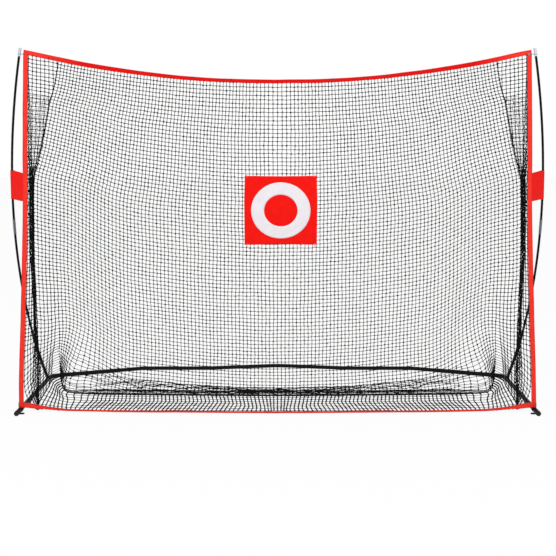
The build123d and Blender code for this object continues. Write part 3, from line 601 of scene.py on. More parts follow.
def knot_cluster(name, places):
    """One small eight-sided knot at each place, turned at random."""
    size = bpy.context.scene.golf_net.knot
    draw = random.Random(name)
    bm = bmesh.new()
    bmesh.ops.create_uvsphere(bm, u_segments=4, v_segments=2, radius=size / 2)
    one = bpy.data.meshes.new(f"{name}_one")
    bm.to_mesh(one)
    bm.clear()
    for place in places:
        spot = Vector((place.x, place.y, max(place.z, size * 0.6)))
        turn = Matrix.Rotation(draw.uniform(0, math.tau), 4, "Y")
        turn @= Matrix.Rotation(draw.uniform(0, 1.0), 4, "X")
        put = Matrix.Translation(spot) @ turn @ Matrix.Scale(draw.uniform(0.8, 1.15), 4)
        one.transform(put)
        bm.from_mesh(one)
        one.transform(put.inverted())
    bpy.data.meshes.remove(one)
    return mesh_object(name, bm, "twine", smooth=False)


def net_panel(name, columns, rows, place, kept=None, twine_width=None):
    """A panel of knotted netting with its knots."""
    twine, places = netting(name, columns, rows, place, kept, twine_width)
    return twine, knot_cluster(f"{name}_knots", places)


# ---- the net's shape ----
def border_inner(height):
    """Inner edge of the side border."""
    return side_line(height) - BORDER_HALF


def half_net(u):
    """A column's share of the half width, and the side it is on."""
    return abs(u), 1 if u >= 0 else -1


def spread(share, widen):
    """Place of a column across the net, from 0 to 1, with wider meshes on the middle plane."""
    return (share + widen * math.tanh(share / 0.06)) / (1 + widen)


def seam_spot(share):
    """Where a column meets the floor lashing: few columns go round its corner."""
    return floor_seam(0.84 * share + 0.16 * smooth_step(0.8, 1.0, share))


def net_foot(share):
    """The back net's foot: back along the floor lashing to the corner, then forward along the side."""
    if share < BAG_SHARE:
        return seam_spot(share / BAG_SHARE)
    return side_seam(1 - (share - BAG_SHARE) / (1 - BAG_SHARE) * (1 - SIDE_FOOT))


def back_shape(share, down):
    """The back net without its foot and folds, at a share of its half width and a share down its height."""
    edge = side_edge(down - 0.035 * math.sin(math.pi * min(down / HANG, 1.0)))
    middle = middle_edge(down)
    slack = 0.004 + 0.018 * (1 - smooth_step(0.1, 0.5, down))
    height = middle.z + (edge.z - middle.z) * share**2
    bag = max(bag_depth(edge.z), edge.y)
    depth = middle.y + (bag - middle.y) * share**2
    depth -= (bag - edge.y) * smooth_step(BAG_SHARE - 0.05, 1.0, share)
    # the columns stand evenly as they are seen from in front
    across = edge.x / (1 + edge.y / VIEW) * spread(share, slack) * (1 + depth / VIEW)
    return Vector((across, depth, height))


def back_place(u, t):
    """Where the back net's column u and row t lie."""
    share, side = half_net(u)
    down = t * HANG / FOLD_START
    if t >= FOLD_START:
        down = HANG + (t - FOLD_START) * (1 - HANG) / (1 - FOLD_START)
    down += (t - down) * smooth_step(0.6, 0.88, share)
    spot = back_shape(share, down)
    top_z = top_line(spot.x) - BORDER_HALF + 4 * MM
    near_top = 1 - smooth_step(0.0, 0.22, t)
    spot.z += (top_z - back_shape(share, 0.0).z) * near_top
    spot += (net_foot(share) - back_shape(share, 1.0)) * smooth_step(0.76, 1.0, t)
    # folds where the foot lies on the ground
    folded = smooth_step(FOLD_START - 0.02, FOLD_START + 0.03, t) * (1 - smooth_step(0.985, 1.0, t))
    folded *= 1 - 0.7 * smooth_step(0.8, 0.9, share)
    wander = noise.noise(Vector((spot.x * 7, 2.5, side))) * 2.2
    turn = (t - FOLD_START) * FOLD_TURNS + wander
    spot.z += folded * 0.006 * (1 + math.sin(turn + 5 * noise.noise(spot * 16)))
    spot.y += folded * 0.010 * math.sin(turn + 1.4)
    place = from_mouth(spot, side)
    place += stray(place, 5.0, 0.004) * (1 - near_top) * (1 - smooth_step(0.9, 1.0, t))
    place.z = max(place.z, GROUND)
    return place


def border_spot(height):
    """Where a side net is sewn to the border."""
    return Vector((border_inner(height) - BORDER_GAP, NET_DEPTH, height))


def side_along(u, t):
    """How far from the border to the back net's edge a column lies, above 1 where it was cut away."""
    net = bpy.context.scene.golf_net
    rear = side_edge(t)
    gap = max(0.02, math.hypot(border_inner(rear.z) - rear.x, rear.y))
    return (u + 1) / 2 * net.side_columns * net.mesh_pitch / gap


def side_place(side):
    """The placing function of one side net: u from the border to the seam, t from the top to the ground."""

    def place(u, t):
        v = min(1.0, side_along(u, t))
        rear = side_edge(t)
        rise = 0.030 * (1 - smooth_step(0.0, 0.3, t))
        front = border_spot(rear.z + rise + (BORDER_FOOT - rear.z) * smooth_step(0.8, 1.0, t))
        spot = front.lerp(rear, v)
        spot.x -= 0.006 * math.sin(math.pi * v) * smooth_step(0.1, 0.4, t)
        plain = border_spot(BORDER_FOOT).lerp(side_edge(1.0), v)
        spot += (side_seam(v * SIDE_FOOT) - plain) * smooth_step(0.88, 1.0, t)
        result = from_mouth(spot, side)
        result += stray(result, 7.0, 0.004) * smooth_step(0.0, 0.1, v) * (1 - smooth_step(0.95, 1.0, v))
        result.z = max(result.z, GROUND)
        return result

    return place


def floor_place(u, t):
    """Where the floor net's column u and row t lie, from the mouth back to the floor seam."""
    share, side = half_net(u)
    spot = Vector((FLOOR_X * share, FLOOR_Y, FLOOR_Z)).lerp(seam_spot(share), t)
    plain = Vector((FLOOR_X, FLOOR_Y, FLOOR_Z)).lerp(floor_seam(1.0), t)
    spot += (side_seam(t) - plain) * share**6
    spot.z = FLOOR_Z + (spot.z - FLOOR_Z) * share**6
    # the threads were pulled toward the middle when the net was folded
    away = smooth_step(0.02, 0.3, share)
    apex = 0.05 + 0.5 * away
    bow = t / apex + (1 - away) * (1 - t / apex) if t < apex else (1 - t) / (1 - apex)
    spot.x -= CHEVRON * bow * smooth_step(0.0, 0.07, share) * (1 - share**8)
    spot.z += 0.003 * (1 + noise.noise(spot * 22))
    return from_mouth(spot, side)


def bunch_place(u, t):
    """Where the netting that is bunched on the ground behind the floor lashing lies."""
    share, side = half_net(u)
    share *= 0.9
    inward = smooth_step(0.80, 0.92, share)
    width = 0.100 - 0.080 * smooth_step(0.64, 0.84, share)
    spot = floor_seam(share) + Vector((-inward, 1 - 0.6 * inward, 0)) * (0.006 + width * t)
    heap = math.sin(math.pi * min(1.0, 0.12 + t)) ** 0.7
    rough = noise.noise_vector(Vector((u * 42 + 9, t * 6, 5.3)))
    spot += Vector((rough.x * 0.012, rough.y * 0.010, 0))
    spot.z += heap * (0.002 + 0.0035 * (1 + rough.z)) * (1 - 0.7 * inward)
    return from_mouth(spot, side)


def tuck_place(side):
    """The placing function of the slack of a side net, tucked between the roll and the upper seam."""

    def place(u, t):
        height = TUCK_TOP - TUCK_DROP * t
        spot = line_at(side_gather, height).lerp(line_at(side_edge, height), (u + 1) / 2)
        wander = noise.noise_vector(Vector((u * 3.1, t * 26, side)))
        spot += Vector((wander.x * 0.012, wander.y * 0.012, wander.z * 0.010))
        spot.x = min(spot.x, border_inner(height) - 3 * MM)
        return from_mouth(spot, side)

    return place


# ---- ropes of gathered netting ----
def gathered_rope(name, line, length, reach, strand, across, side=1, lumps=0.07, twist=55 * MM, strands=3,
                  bead=(1.3, 2.1)):
    """Netting gathered into a rope: loose strands of bunched twine round a line, lumpy where it is knotted.

    reach and strand give the strands' distance from the line and their radius at a share of its length,
    lumps is the length between knots, twist that of a turn, and bead a knot's size over a strand's radius."""
    draw = random.Random(name)
    steps = max(24, int(length / (9 * MM)))

    def outward(turn):
        return across[0] * math.cos(turn) + across[1] * math.sin(turn)

    def strand_spot(index, step):
        share = step / steps
        run = share * length
        turn = run / twist * math.tau + index * math.tau / strands
        turn += 1.3 * noise.noise(Vector((run * 9, index, 0)))
        off = reach(share) * (0.8 + 0.4 * noise.noise(Vector((run * 14, index * 3.0, 1))))
        thick = strand(share) * (1 + 0.45 * noise.noise(Vector((run * 25, index * 5.0, 2))))
        spot = from_mouth(line(share), side) + outward(turn) * off
        spot.z = max(spot.z, thick)
        return spot, thick

    bm = bmesh.new()
    add_tubes(bm, [[strand_spot(index, step) for step in range(steps + 1)] for index in range(strands)])
    for _ in range(int(length / lumps)):
        share = draw.uniform(0.04, 0.96)
        turn = draw.uniform(0, math.tau)
        centre = from_mouth(line(share), side) + outward(turn) * reach(share) * draw.uniform(0.2, 1.0)
        size = strand(share) * draw.uniform(*bead)
        centre.z = max(centre.z, size)
        rolled = Matrix.Rotation(draw.uniform(0, math.tau), 4, "X")
        shape = Matrix.Translation(centre) @ rolled @ Matrix.Diagonal((size, size * 0.8, size * 0.8, 1))
        bmesh.ops.create_icosphere(bm, subdivisions=2, radius=1.0, matrix=shape)
    return mesh_object(name, bm, "twine")


def seam_rope(name, line, radius, side=1):
    """A lashed seam along the ground, thinner toward its end."""

    def thin(share):
        return 1 - 0.68 * smooth_step(0.68, 0.88, share)

    return gathered_rope(
        name, line, line.length, lambda share: radius * 0.7 * thin(share),
        lambda share: radius * 0.62 * thin(share), (UP, DEEP), side,
    )


def side_gather_rope(name, side):
    """The roll of slack netting that hangs down inside a side net."""

    def by_height(table):
        return lambda share: table(side_gather(share).z)

    return gathered_rope(
        name, side_gather, side_gather.length, by_height(gather_reach), by_height(gather_strand),
        (ACROSS, DEEP), side, lumps=0.045, twist=95 * MM, strands=5,
    )


def upper_seam_rope(name, side):
    """The thin laced seam between a side net and the back net, from the corner down to the roll."""
    top, bottom = 0.05, 0.34
    return gathered_rope(
        name, lambda share: side_edge(top + (bottom - top) * share), side_edge.length * (bottom - top),
        lambda share: (2.4 + 13 * share**1.2) * MM, lambda share: (0.8 + 0.3 * share) * MM,
        (ACROSS, UP), side, lumps=0.008, twist=48 * MM, bead=(2.4, 4.0),
    )


def closed_bars(name, columns, steps):
    """Bars of the floor net, which is drawn closed: one wavering double run of twine down each column."""

    def bar_spot(column, step):
        wander = noise.noise(Vector((column * 3.1, step * 0.9, 7)))
        thick = FLOOR_BAR_R * (1 + 0.35 * wander)
        spot = floor_place(2 * column / columns - 1, step / steps) + Vector((2 * MM * wander, 0, 0))
        spot.z = max(spot.z, thick + 1 * MM)
        return spot, thick

    bm = bmesh.new()
    add_tubes(bm, [[bar_spot(column, step) for step in range(steps + 1)] for column in range(columns + 1)])
    return mesh_object(name, bm, "twine")


# ---- webbing ----
def border_strip(name, place, length, rows, node, look="border"):
    """A strip of the border: place(v, w) gives its middle layer at the share v along it and w across it."""
    bm = bmesh.new()
    bmesh.ops.create_grid(bm, x_segments=4, y_segments=rows, size=0.5)
    lay_out(
        bm, lambda co: (co.x * BORDER_WIDTH, (co.y + 0.5) * length), lambda co: place(co.y + 0.5, co.x),
        bpy.context.scene.golf_webbing.thickness,
    )
    piece = mesh_object(name, bm, look)
    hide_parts(node)


def top_band(v, w):
    """The top border, which leans back between the corners."""
    x = (v * 2 - 1) * (CORNER_X - 1 * MM)
    lean = 0.62 * (1 - smooth_step(0.35, 1.0, abs(x) / CORNER_X))
    lean += 0.06 * noise.noise(Vector((x * 4, 0, 0)))
    height = top_line(abs(x)) + 1.5 * MM * noise.noise(Vector((x * 6, 5, 0)))
    return Vector((x, MOUTH_Y, height)) + Vector((0, math.sin(lean), math.cos(lean))) * w * BORDER_WIDTH


def bottom_band(v, w):
    """The bottom border, which lies flat on the ground and stands up toward the corners."""
    x = (v * 2 - 1) * (border_inner(BORDER_FOOT) + BORDER_HALF)
    stand = math.radians(ground_stand(abs(x)))
    across = Vector((0, math.cos(stand), math.sin(stand))) * w * BORDER_WIDTH
    ripple = 1.0 * MM * (1 + noise.noise(Vector((x * 9, w, 3))))
    bulge = 12 * MM * (1 - smooth_step(0.5, 1.2, abs(x)))
    return Vector((x, MOUTH_Y - bulge, ground_line(abs(x)) + ripple)) + across


def side_band(side, low, high):
    """The placing function of a side border."""

    def place(v, w):
        height = low + (high - low) * v
        lean = 0.16 * noise.noise(Vector((height * 2.2, side, 0)))
        across = Vector((side * math.cos(lean), math.sin(lean), 0)) * w * BORDER_WIDTH
        middle = border_inner(height) + BORDER_HALF + 1.0 * MM * noise.noise(Vector((height * 7, side, 4)))
        return Vector((side * middle, MOUTH_Y - 0.6 * MM, height)) + across

    return place


def add_loop(bm, centre, way, radius):
    """Adds one turn of webbing round a tube to a bmesh."""
    turned = way.to_track_quat("Z", "X").to_matrix().to_4x4()
    ring = bmesh.ops.create_circle(
        bm, cap_ends=False, segments=48, radius=radius, matrix=Matrix.Translation(centre) @ turned
    )
    edges = list(dict.fromkeys(edge for vert in ring["verts"] for edge in vert.link_edges))
    for _ in range(4):
        grown = bmesh.ops.extrude_edge_only(bm, edges=edges)
        verts = [item for item in grown["geom"] if isinstance(item, bmesh.types.BMVert)]
        bmesh.ops.translate(bm, verts=verts, vec=way * STRAP_WIDTH / 4)
        edges = [item for item in grown["geom"] if isinstance(item, bmesh.types.BMEdge)]
        edges = [edge for edge in edges if len(edge.link_faces) == 1 and set(edge.verts) <= set(verts)]


def tube_strap(name, stem, low, high, side):
    """A webbing loop round a tube of the ground frame with its tail sewn to the net, and its flat length."""
    reach = TUBE_R + 1.0 * MM
    if stem == "foot_loop":
        way = Vector((side * 0.031, 1, 0)).normalized()
        centre = Vector((side * (abs(low.x + high.x) / 2 + 0.2 * MM), MOUTH_Y + 2.2 * MM, TUBE_CENTRE))
        tail_start = centre + Vector((0, 1.4 * MM, TUBE_R))
        tail_way = Vector((0, -0.02, 1))
        tail_length = high.z - TUBE_CENTRE - TUBE_R
    else:
        way = Vector((-side * 0.941, 0.337, 0)).normalized()
        centre = Vector(((low.x + high.x) / 2 + side * 9 * MM, high.y - 17 * MM, TUBE_CENTRE))
        tail_start = centre + way * STRAP_WIDTH / 2 + Vector((0, -TUBE_R * 0.7, -TUBE_R + 1 * MM))
        tail_way = Vector((0, -1, 0))
        tail_length = tail_start.y - low.y
    bm = bmesh.new()
    add_loop(bm, centre, way, reach)
    tail = bmesh.ops.create_grid(bm, x_segments=4, y_segments=10, size=0.5)
    for vert in tail["verts"]:
        vert.co = tail_start + ACROSS * vert.co.x * STRAP_WIDTH + tail_way * (vert.co.y + 0.5) * tail_length
    lay_out(bm, lambda co: (co.dot(way), co.z + co.x), lambda co: co, 1.2 * MM)
    return mesh_object(name, bm, "strap"), math.tau * reach + tail_length


def pole_centre(hand, height):
    """The pole's axis at a height, from the points of its tube near there."""
    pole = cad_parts[f"upper_pole_{hand}"]
    near = [pole.matrix_world @ vert.co for vert in pole.data.vertices]
    near = [spot for spot in near if abs(spot.z - height) < 0.09]
    middle = sum(near, Vector()) / len(near)
    rise = sum((spot.z - middle.z) ** 2 for spot in near)
    way = sum(((spot - middle) * (spot.z - middle.z) for spot in near), Vector()) / rise
    return middle + way * (height - middle.z)


def pole_sleeve(name, hand, side):
    """A cloth sleeve round a pole, its two layers joined in a tab on the border's edge, and its flat size."""
    low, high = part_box(f"pole_tab_{hand}")
    radius = 9.6 * MM
    layer = 1.2 * MM
    slope = 14 * MM
    flank = 0.4  # share of the cloth in each flat layer, the rest going round the pole
    rise = high.z - low.z - slope + 8 * MM
    pole_low = pole_centre(hand, low.z + slope - 5 * MM)
    pole_high = pole_centre(hand, high.z + 9 * MM)
    tab = pole_low.x * side - (border_inner(low.z) + BORDER_WIDTH)
    girth = 2 * math.hypot(tab, pole_low.y - MOUTH_Y) + math.tau * radius * 0.72

    def place(co):
        share, up = co.x + 0.5, co.y + 0.5
        pole = pole_low.lerp(pole_high, up)
        edge_z = low.z + rise * up
        edge = Vector((side * (border_inner(edge_z) + BORDER_WIDTH - 3 * MM), MOUTH_Y, edge_z))
        toward = (Vector((pole.x, pole.y, 0)) - Vector((edge.x, edge.y, 0))).normalized()
        normal = Vector((-toward.y, toward.x, 0)) * side
        if share < flank:
            along = share / flank
            spot = edge.lerp(pole + normal * -radius, along) + normal * layer * (-1 + along)
        elif share > 1 - flank:
            along = (1 - share) / flank
            spot = edge.lerp(pole + normal * radius, along) + normal * layer * (1 - along)
        else:
            angle = (share - flank) / 0.2 * math.pi
            spot = pole - normal * radius * math.cos(angle) + toward * radius * math.sin(angle)
        return spot + stray(spot, 26.0, 1.3 * MM) * (0.3 if 0.35 < share < 0.65 else 1)

    bm = bmesh.new()
    bmesh.ops.create_grid(bm, x_segments=40, y_segments=24, size=0.5)
    lay_out(bm, lambda co: (co.x * girth, co.y * rise), place, 1.0 * MM)
    return mesh_object(name, bm, "cloth"), (girth, rise)


# ---- target ----
def target_spot(a, b, lift=0.0):
    """A place on the target's wrinkled face: a to its right and b up it in metres, lift toward the player."""
    up = Vector((0, -math.sin(TARGET_LEAN), math.cos(TARGET_LEAN)))
    to_player = Vector((0, -math.cos(TARGET_LEAN), -math.sin(TARGET_LEAN)))
    narrow = 1 - 0.022 * smooth_step(0.2, 1.0, b / TARGET_HALF)
    corner = math.hypot(abs(a) - TARGET_HALF, abs(b) - TARGET_HALF)
    rumple = 2.6 * MM * noise.noise(Vector((a * 9 + b * 5, b * 7, 1.5)))
    rumple += 1.6 * MM * noise.noise(Vector((a * 31 - b * 12, b * 21, 4.0)))
    rumple += 1.8 * MM * math.sin((a * (1 if b > 0 else -1) + b) * 62) * math.exp(-corner / 0.09)
    slack_edge = 3.5 * MM * (1 - (2 * a / TARGET_SIZE) ** 2) * (abs(b) / TARGET_HALF) ** 8
    spot = (target_low + target_high) / 2 + ACROSS * a * narrow + up * (b - math.copysign(slack_edge, b))
    return spot + to_player * (rumple + lift)


def target_cloth():
    """The red square of the target with its turned hem."""
    bm = bmesh.new()
    bmesh.ops.create_grid(bm, x_segments=90, y_segments=90, size=0.5)

    def place(co):
        a, b = co.x * TARGET_SIZE, co.y * TARGET_SIZE
        hem = 0.7 * MM * smooth_step(0.0, 2 * MM, max(abs(a), abs(b)) - (TARGET_HALF - HEM))
        return target_spot(a, b, hem)

    lay_out(bm, lambda co: (co.x * TARGET_SIZE, co.y * TARGET_SIZE), place, 1.2 * MM)
    return mesh_object("target_cloth", bm, "cloth", TARGET_BODY)


def target_ring():
    """The white ring sewn on the target."""
    low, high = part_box("target_ring")
    outer = (high.x - low.x) / 2
    inner = outer * RING_BORE
    bm = bmesh.new()
    radial = [bm.verts.new((inner + (outer - inner) * step / 12, 0, 0)) for step in range(13)]
    edges = [bm.edges.new(pair) for pair in zip(radial, radial[1:])]
    bmesh.ops.spin(
        bm, geom=radial + edges, axis=(0, 0, 1), cent=(0, 0, 0), angle=math.tau, steps=128, use_merge=True
    )

    def place(co):
        edge = min(co.length - inner, outer - co.length)
        return target_spot(co.x, co.y, 1.7 * MM - 0.6 * MM * (1 - smooth_step(0, 5 * MM, edge)))

    lay_out(bm, lambda co: co.xy, place, 0.9 * MM)
    return mesh_object("target_ring_cloth", bm, "ring", TARGET_BODY)


def target_ties():
    """A short knotted tie at each corner of the target."""
    # across, up and toward the player from the tie's foot, in mm
    tape = (
        ((0, 0, 2), (1, 12, 1), (-2, 22, -3), (0, 25, -8)),
        ((0, 8, 2), (-6, 16, 4), (-9, 24, 2)),
        ((0, 8, 2), (5, 17, 4), (10, 21, 1)),
    )
    bm = bmesh.new()
    for right in (-1, 1):
        for up in (-1, 1):
            a, b = right * (TARGET_HALF - 14 * MM), up * (TARGET_HALF - 6 * MM)
            runs = [
                [(target_spot(a + x * MM, b + up * y * MM, lift * MM), 1.0) for x, y, lift in run]
                for run in tape
            ]
            add_tubes(bm, runs, radius=1.5 * MM, resolution=2, kind="NURBS")
            knot = Matrix.Translation(target_spot(a, b + up * 10 * MM, 2.5 * MM))
            bmesh.ops.create_icosphere(
                bm, subdivisions=2, radius=3.2 * MM, matrix=knot @ Matrix.Diagonal((1.3, 0.8, 0.9, 1))
            )
    return mesh_object("target_tie_cords", bm, "tie", TARGET_BODY)


# ---- stage ----
def seen_directly(tree):
    """1 for rays from the camera and through gloss or glass, 0 for light that falls on things."""
    path = add_node(tree, "ShaderNodeLightPath")
    seen = path.outputs["Is Camera Ray"]
    for ray in ("Is Glossy Ray", "Is Transmission Ray"):
        seen = add_node(tree, "ShaderNodeMath", {0: seen, 1: path.outputs[ray]}, operation="MAXIMUM")
    return seen


def studio_paper():
    """Matt white studio paper: bright where it is seen, and it still takes the object's shadow."""
    material, tree, place = new_material("studio_paper")
    grain = add_node(tree, "ShaderNodeTexNoise", {"Vector": place}, {"Scale": 400.0})
    whites = ((0.3, linear(0xF4F4F4)), (0.7, linear(0xFFFFFF)))
    look = add_node(tree, "ShaderNodeValToRGB", {"Fac": grain}, stops=whites)
    paper = add_node(tree, "ShaderNodeBsdfDiffuse", {"Color": look})
    glow = add_node(tree, "ShaderNodeEmission", values={"Color": (1, 1, 1, 1), "Strength": 1.0})
    share = add_node(tree, "ShaderNodeMath", {0: seen_directly(tree)}, {1: PAPER_GLOW}, operation="MULTIPLY")
    mix = add_node(tree, "ShaderNodeMixShader", {0: share, 1: paper, 2: glow})
    add_node(tree, "ShaderNodeOutputMaterial", {"Surface": mix})
    return material


def studio_world():
    """An even pale room: white where it is seen, softer as light."""
    world = bpy.data.worlds.new("studio")
    world.use_nodes = True
    tree = world.node_tree
    tree.nodes.clear()
    room = add_node(tree, "ShaderNodeBackground", values={"Color": (1, 1, 1, 1), "Strength": ROOM_LIGHT})
    seen = add_node(tree, "ShaderNodeBackground", values={"Color": (1, 1, 1, 1), "Strength": 1.0})
    mix = add_node(tree, "ShaderNodeMixShader", {0: seen_directly(tree), 1: room, 2: seen})
    add_node(tree, "ShaderNodeOutputWorld", {"Surface": mix})
    return world


# ---- operators ----
class GOLF_OT_finishes(bpy.types.Operator):
    """Make every finish and put them on the rigid parts of the frame"""

    bl_idname = "golf_net.finishes"
    bl_label = "Finishes"

    def execute(self, context):
        webbing, colours = context.scene.golf_webbing, context.scene.golf_frame
        red, thread = webbing.border_red, 1.1 * MM
        FINISHES.clear()
        FINISHES.update(
            powder_coat=powder_coat_steel(colours.powder_coat),
            fibreglass=pultruded_fibreglass(colours.pole_black),
            ferrule=plated_steel("phosphated_steel_ferrule", colours.ferrule_grey, 0.42, 2.5 * MM),
            zinc=plated_steel("bright_zinc_plated_steel", colours.zinc, 0.28, 4 * MM),
            spring=plated_steel("tempered_spring_steel", linear(0x8E9196), 0.35, 1.5 * MM),
            cap=moulded_cap(),
            twine=braided_twine(context.scene.golf_net.twine_colour),
            border=woven("polyester_webbing_red", red, thread, stitches=STITCHES),
            # turned: the red webbing with painted shade toward the middle plane
            turned=woven(
                "polyester_webbing_red_painted_shade", red, thread, stitches=STITCHES, painted_shade_colour=webbing.border_painted_shade
            ),
            cloth=woven("oxford_cloth_red", webbing.cloth_red, 0.7 * MM),
            ring=woven("oxford_cloth_white", webbing.ring_white, 0.7 * MM, spread=0.04),
            strap=woven("polypropylene_webbing_black", webbing.strap_black, 1.2 * MM),
            tie=woven("cotton_tie_tape", linear(0xF6D5D8), 0.6 * MM, spread=0.08),
        )
        rigid = {
            "powder_coat": ("leg", "corner_elbow", "rear_rail", "pole_socket", "stake_lug"),
            "fibreglass": ("lower_pole", "upper_pole"),
            "ferrule": ("mid_ferrule", "corner_grommet", "corner_ring"),
            "zinc": ("pole_tip", "snap_button"),
            "spring": ("button_spring",),
            "cap": ("foot_cap",),
        }
        for look, stems in rigid.items():
            for name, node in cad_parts.items():
                if name.startswith(stems):
                    node.data.materials.clear()
                    node.data.materials.append(FINISHES[look])
        return {"FINISHED"}


class GOLF_OT_back_net(bpy.types.Operator):
    """Hang the back net and lash its foot to the floor net"""

    bl_idname = "golf_net.back_net"
    bl_label = "Back Net"

    def execute(self, context):
        net = context.scene.golf_net
        twine, knots = net_panel("back_netting", net.back_columns, net.back_rows, back_place)
        right = seam_rope("floor_lashing_right", floor_seam, 6 * MM)
        left = seam_rope("floor_lashing_left", floor_seam, 6 * MM, side=-1)
        bunched = netting("bunched_netting", net.floor_columns, 9, bunch_place, twine_width=BUNCH_TWINE)[0]
        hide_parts("back_net")
        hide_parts("floor_seam")
        return {"FINISHED"}


class GOLF_OT_side_nets(bpy.types.Operator):
    """Hang the two side nets between the border and the back net"""

    bl_idname = "golf_net.side_nets"
    bl_label = "Side Nets"

    def execute(self, context):
        net = context.scene.golf_net
        # the panel tapers, so its flat width is the mean over its rows
        taper = sum(min(1.0, 1 / side_along(1.0, row / net.back_rows)) for row in range(net.back_rows))
        for hand, side in SIDES:
            twine, knots = net_panel(
                f"side_netting_{hand}", net.side_columns, net.back_rows, side_place(side),
                kept=lambda u, t: side_along(u, t) < 1, twine_width=net.twine + 0.5 * MM,
            )
            rope = seam_rope(f"side_lashing_{hand}", side_seam, 4 * MM, side)
            roll = side_gather_rope(f"side_gather_{hand}", side)
            laced = upper_seam_rope(f"side_lacing_{hand}", side)
            tuck = netting(f"side_tuck_{hand}", 6, 34, tuck_place(side), twine_width=TUCK_TWINE)[0]
            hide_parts(f"side_net_{hand}")
            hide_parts(f"side_seam_{hand}")
        return {"FINISHED"}


class GOLF_OT_floor_net(bpy.types.Operator):
    """Lay the floor net between the mouth and the lashing"""

    bl_idname = "golf_net.floor_net"
    bl_label = "Floor Net"

    def execute(self, context):
        net = context.scene.golf_net
        twine, knots = net_panel(
            "floor_netting", net.floor_columns, net.floor_rows, floor_place, twine_width=FLOOR_TWINE
        )
        bars = closed_bars("floor_netting_runs", net.floor_columns, 2 * net.floor_rows)
        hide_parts("floor_net")
        return {"FINISHED"}


class GOLF_OT_border(bpy.types.Operator):
    """Sew the red webbing border round the mouth"""

    bl_idname = "golf_net.border"
    bl_label = "Border"

    def execute(self, context):
        # the webbing is a little longer than the mouth is wide, because it curves
        # the top border wears the turned finish, with painted shade toward its middle
        border_strip("border_top", top_band, 2 * CORNER_X * 1.012, 220, "top_border", "turned")
        ground_length = 2 * (border_inner(BORDER_FOOT) + BORDER_HALF) * 1.004
        border_strip("border_bottom", bottom_band, ground_length, 220, "bottom_border")
        low, high = BORDER_FOOT - 4 * MM, top_line(CORNER_X) - BORDER_HALF * 0.2
        for hand, side in SIDES:
            border_strip(f"border_{hand}", side_band(side, low, high), high - low, 180, f"{hand}_border")
        return {"FINISHED"}


class GOLF_OT_straps(bpy.types.Operator):
    """Loop the webbing straps round the ground frame"""

    bl_idname = "golf_net.straps"
    bl_label = "Straps"

    def execute(self, context):
        for hand, side in SIDES:
            for stem, held_by in (("foot_loop", f"leg_{hand}"), ("rear_strap", f"corner_elbow_{hand}")):
                low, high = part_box(f"{stem}_{hand}")
                piece, length = tube_strap(f"{stem}_webbing_{hand}", stem, low, high, side)
                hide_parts(f"{stem}_{hand}")
        return {"FINISHED"}


class GOLF_OT_pole_tabs(bpy.types.Operator):
    """Sew the red cloth sleeves round the poles"""

    bl_idname = "golf_net.pole_tabs"
    bl_label = "Pole Tabs"

    def execute(self, context):
        for hand, side in SIDES:
            piece, flat = pole_sleeve(f"pole_sleeve_{hand}", hand, side)
            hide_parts(f"pole_tab_{hand}")
        return {"FINISHED"}


class GOLF_OT_target(bpy.types.Operator):
    """Tie the cloth target to the back net"""

    bl_idname = "golf_net.target"
    bl_label = "Target"

    def execute(self, context):
        panel = target_cloth()
        ring = target_ring()
        ties = target_ties()
        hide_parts("target_panel")
        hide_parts("target_ring")
        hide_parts("target_ties")
        return {"FINISHED"}


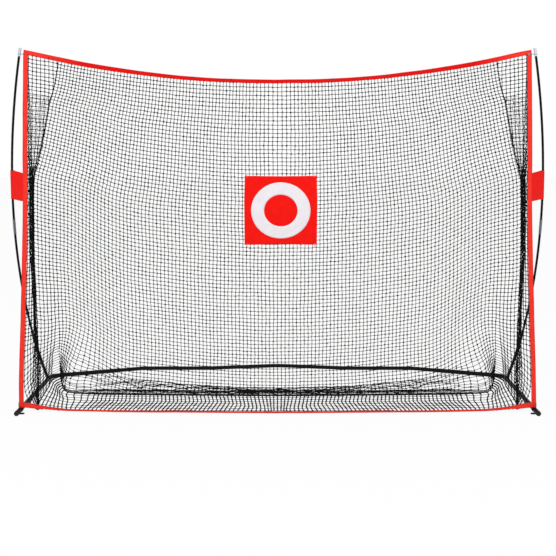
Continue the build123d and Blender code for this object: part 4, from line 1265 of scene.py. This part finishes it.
class GOLF_OT_stage(bpy.types.Operator):
    """Set the pale floor, the soft light and the camera"""

    bl_idname = "golf_net.stage"
    bl_label = "Stage"

    def execute(self, context):
        scene = context.scene
        bm = bmesh.new()
        bmesh.ops.create_grid(bm, x_segments=1, y_segments=1, size=STUDIO_HALF)
        mesh = bpy.data.meshes.new("studio_floor")
        bm.to_mesh(mesh)
        bm.free()
        mesh.materials.append(studio_paper())
        floor = bpy.data.objects.new("studio_floor", mesh)
        scene.collection.objects.link(floor)
        scene.world = studio_world()
        for name, place, turn, size, power in LAMPS:
            lamp = bpy.data.lights.new(name, "AREA")
            lamp.size = size
            lamp.energy = power
            light = bpy.data.objects.new(name, lamp)
            light.location = place
            light.rotation_euler = [math.radians(angle) for angle in turn]
            scene.collection.objects.link(light)
        view = bpy.data.cameras.new("camera")
        view.lens, view.sensor_width = LENS, SENSOR
        view.shift_x, view.shift_y = SHIFT_X, SHIFT_Y
        camera = bpy.data.objects.new("camera", view)
        camera.location = (0, MOUTH_Y - VIEW, EYE_HEIGHT)
        camera.rotation_euler = (math.radians(90), 0, 0)
        scene.collection.objects.link(camera)
        scene.camera = camera
        scene.view_settings.view_transform = "Standard"
        return {"FINISHED"}


class GOLF_PT_panel(bpy.types.Panel):
    """The golf net's pieces and sizes"""

    bl_label = "Golf Practice Net"
    bl_idname = "GOLF_PT_panel"
    bl_space_type = "VIEW_3D"
    bl_region_type = "UI"
    bl_category = "Golf Net"

    def draw(self, context):
        for group in (context.scene.golf_net, context.scene.golf_webbing, context.scene.golf_frame):
            box = self.layout.box()
            for name in group.bl_rna.properties.keys():
                if name not in ("rna_type", "name"):
                    box.prop(group, name)
        for operator in OPERATORS:
            self.layout.operator(operator.bl_idname)


OPERATORS = (
    GOLF_OT_finishes,
    GOLF_OT_stage,
    GOLF_OT_back_net,
    GOLF_OT_side_nets,
    GOLF_OT_floor_net,
    GOLF_OT_border,
    GOLF_OT_straps,
    GOLF_OT_pole_tabs,
    GOLF_OT_target,
)
CLASSES = (NetSettings, WebbingSettings, FrameSettings, *OPERATORS, GOLF_PT_panel)


def register():
    for item in CLASSES:
        bpy.utils.register_class(item)
    bpy.types.Scene.golf_net = PointerProperty(type=NetSettings)
    bpy.types.Scene.golf_webbing = PointerProperty(type=WebbingSettings)
    bpy.types.Scene.golf_frame = PointerProperty(type=FrameSettings)


def unregister():
    del bpy.types.Scene.golf_net, bpy.types.Scene.golf_webbing, bpy.types.Scene.golf_frame
    for item in reversed(CLASSES):
        bpy.utils.unregister_class(item)


def main():
    register()
    bpy.ops.golf_net.finishes()
    bpy.ops.golf_net.stage()
    bpy.ops.golf_net.back_net()
    bpy.ops.golf_net.side_nets()
    bpy.ops.golf_net.floor_net()
    bpy.ops.golf_net.border()
    bpy.ops.golf_net.straps()
    bpy.ops.golf_net.pole_tabs()
    bpy.ops.golf_net.target()


if __name__ == "__main__":
    main()
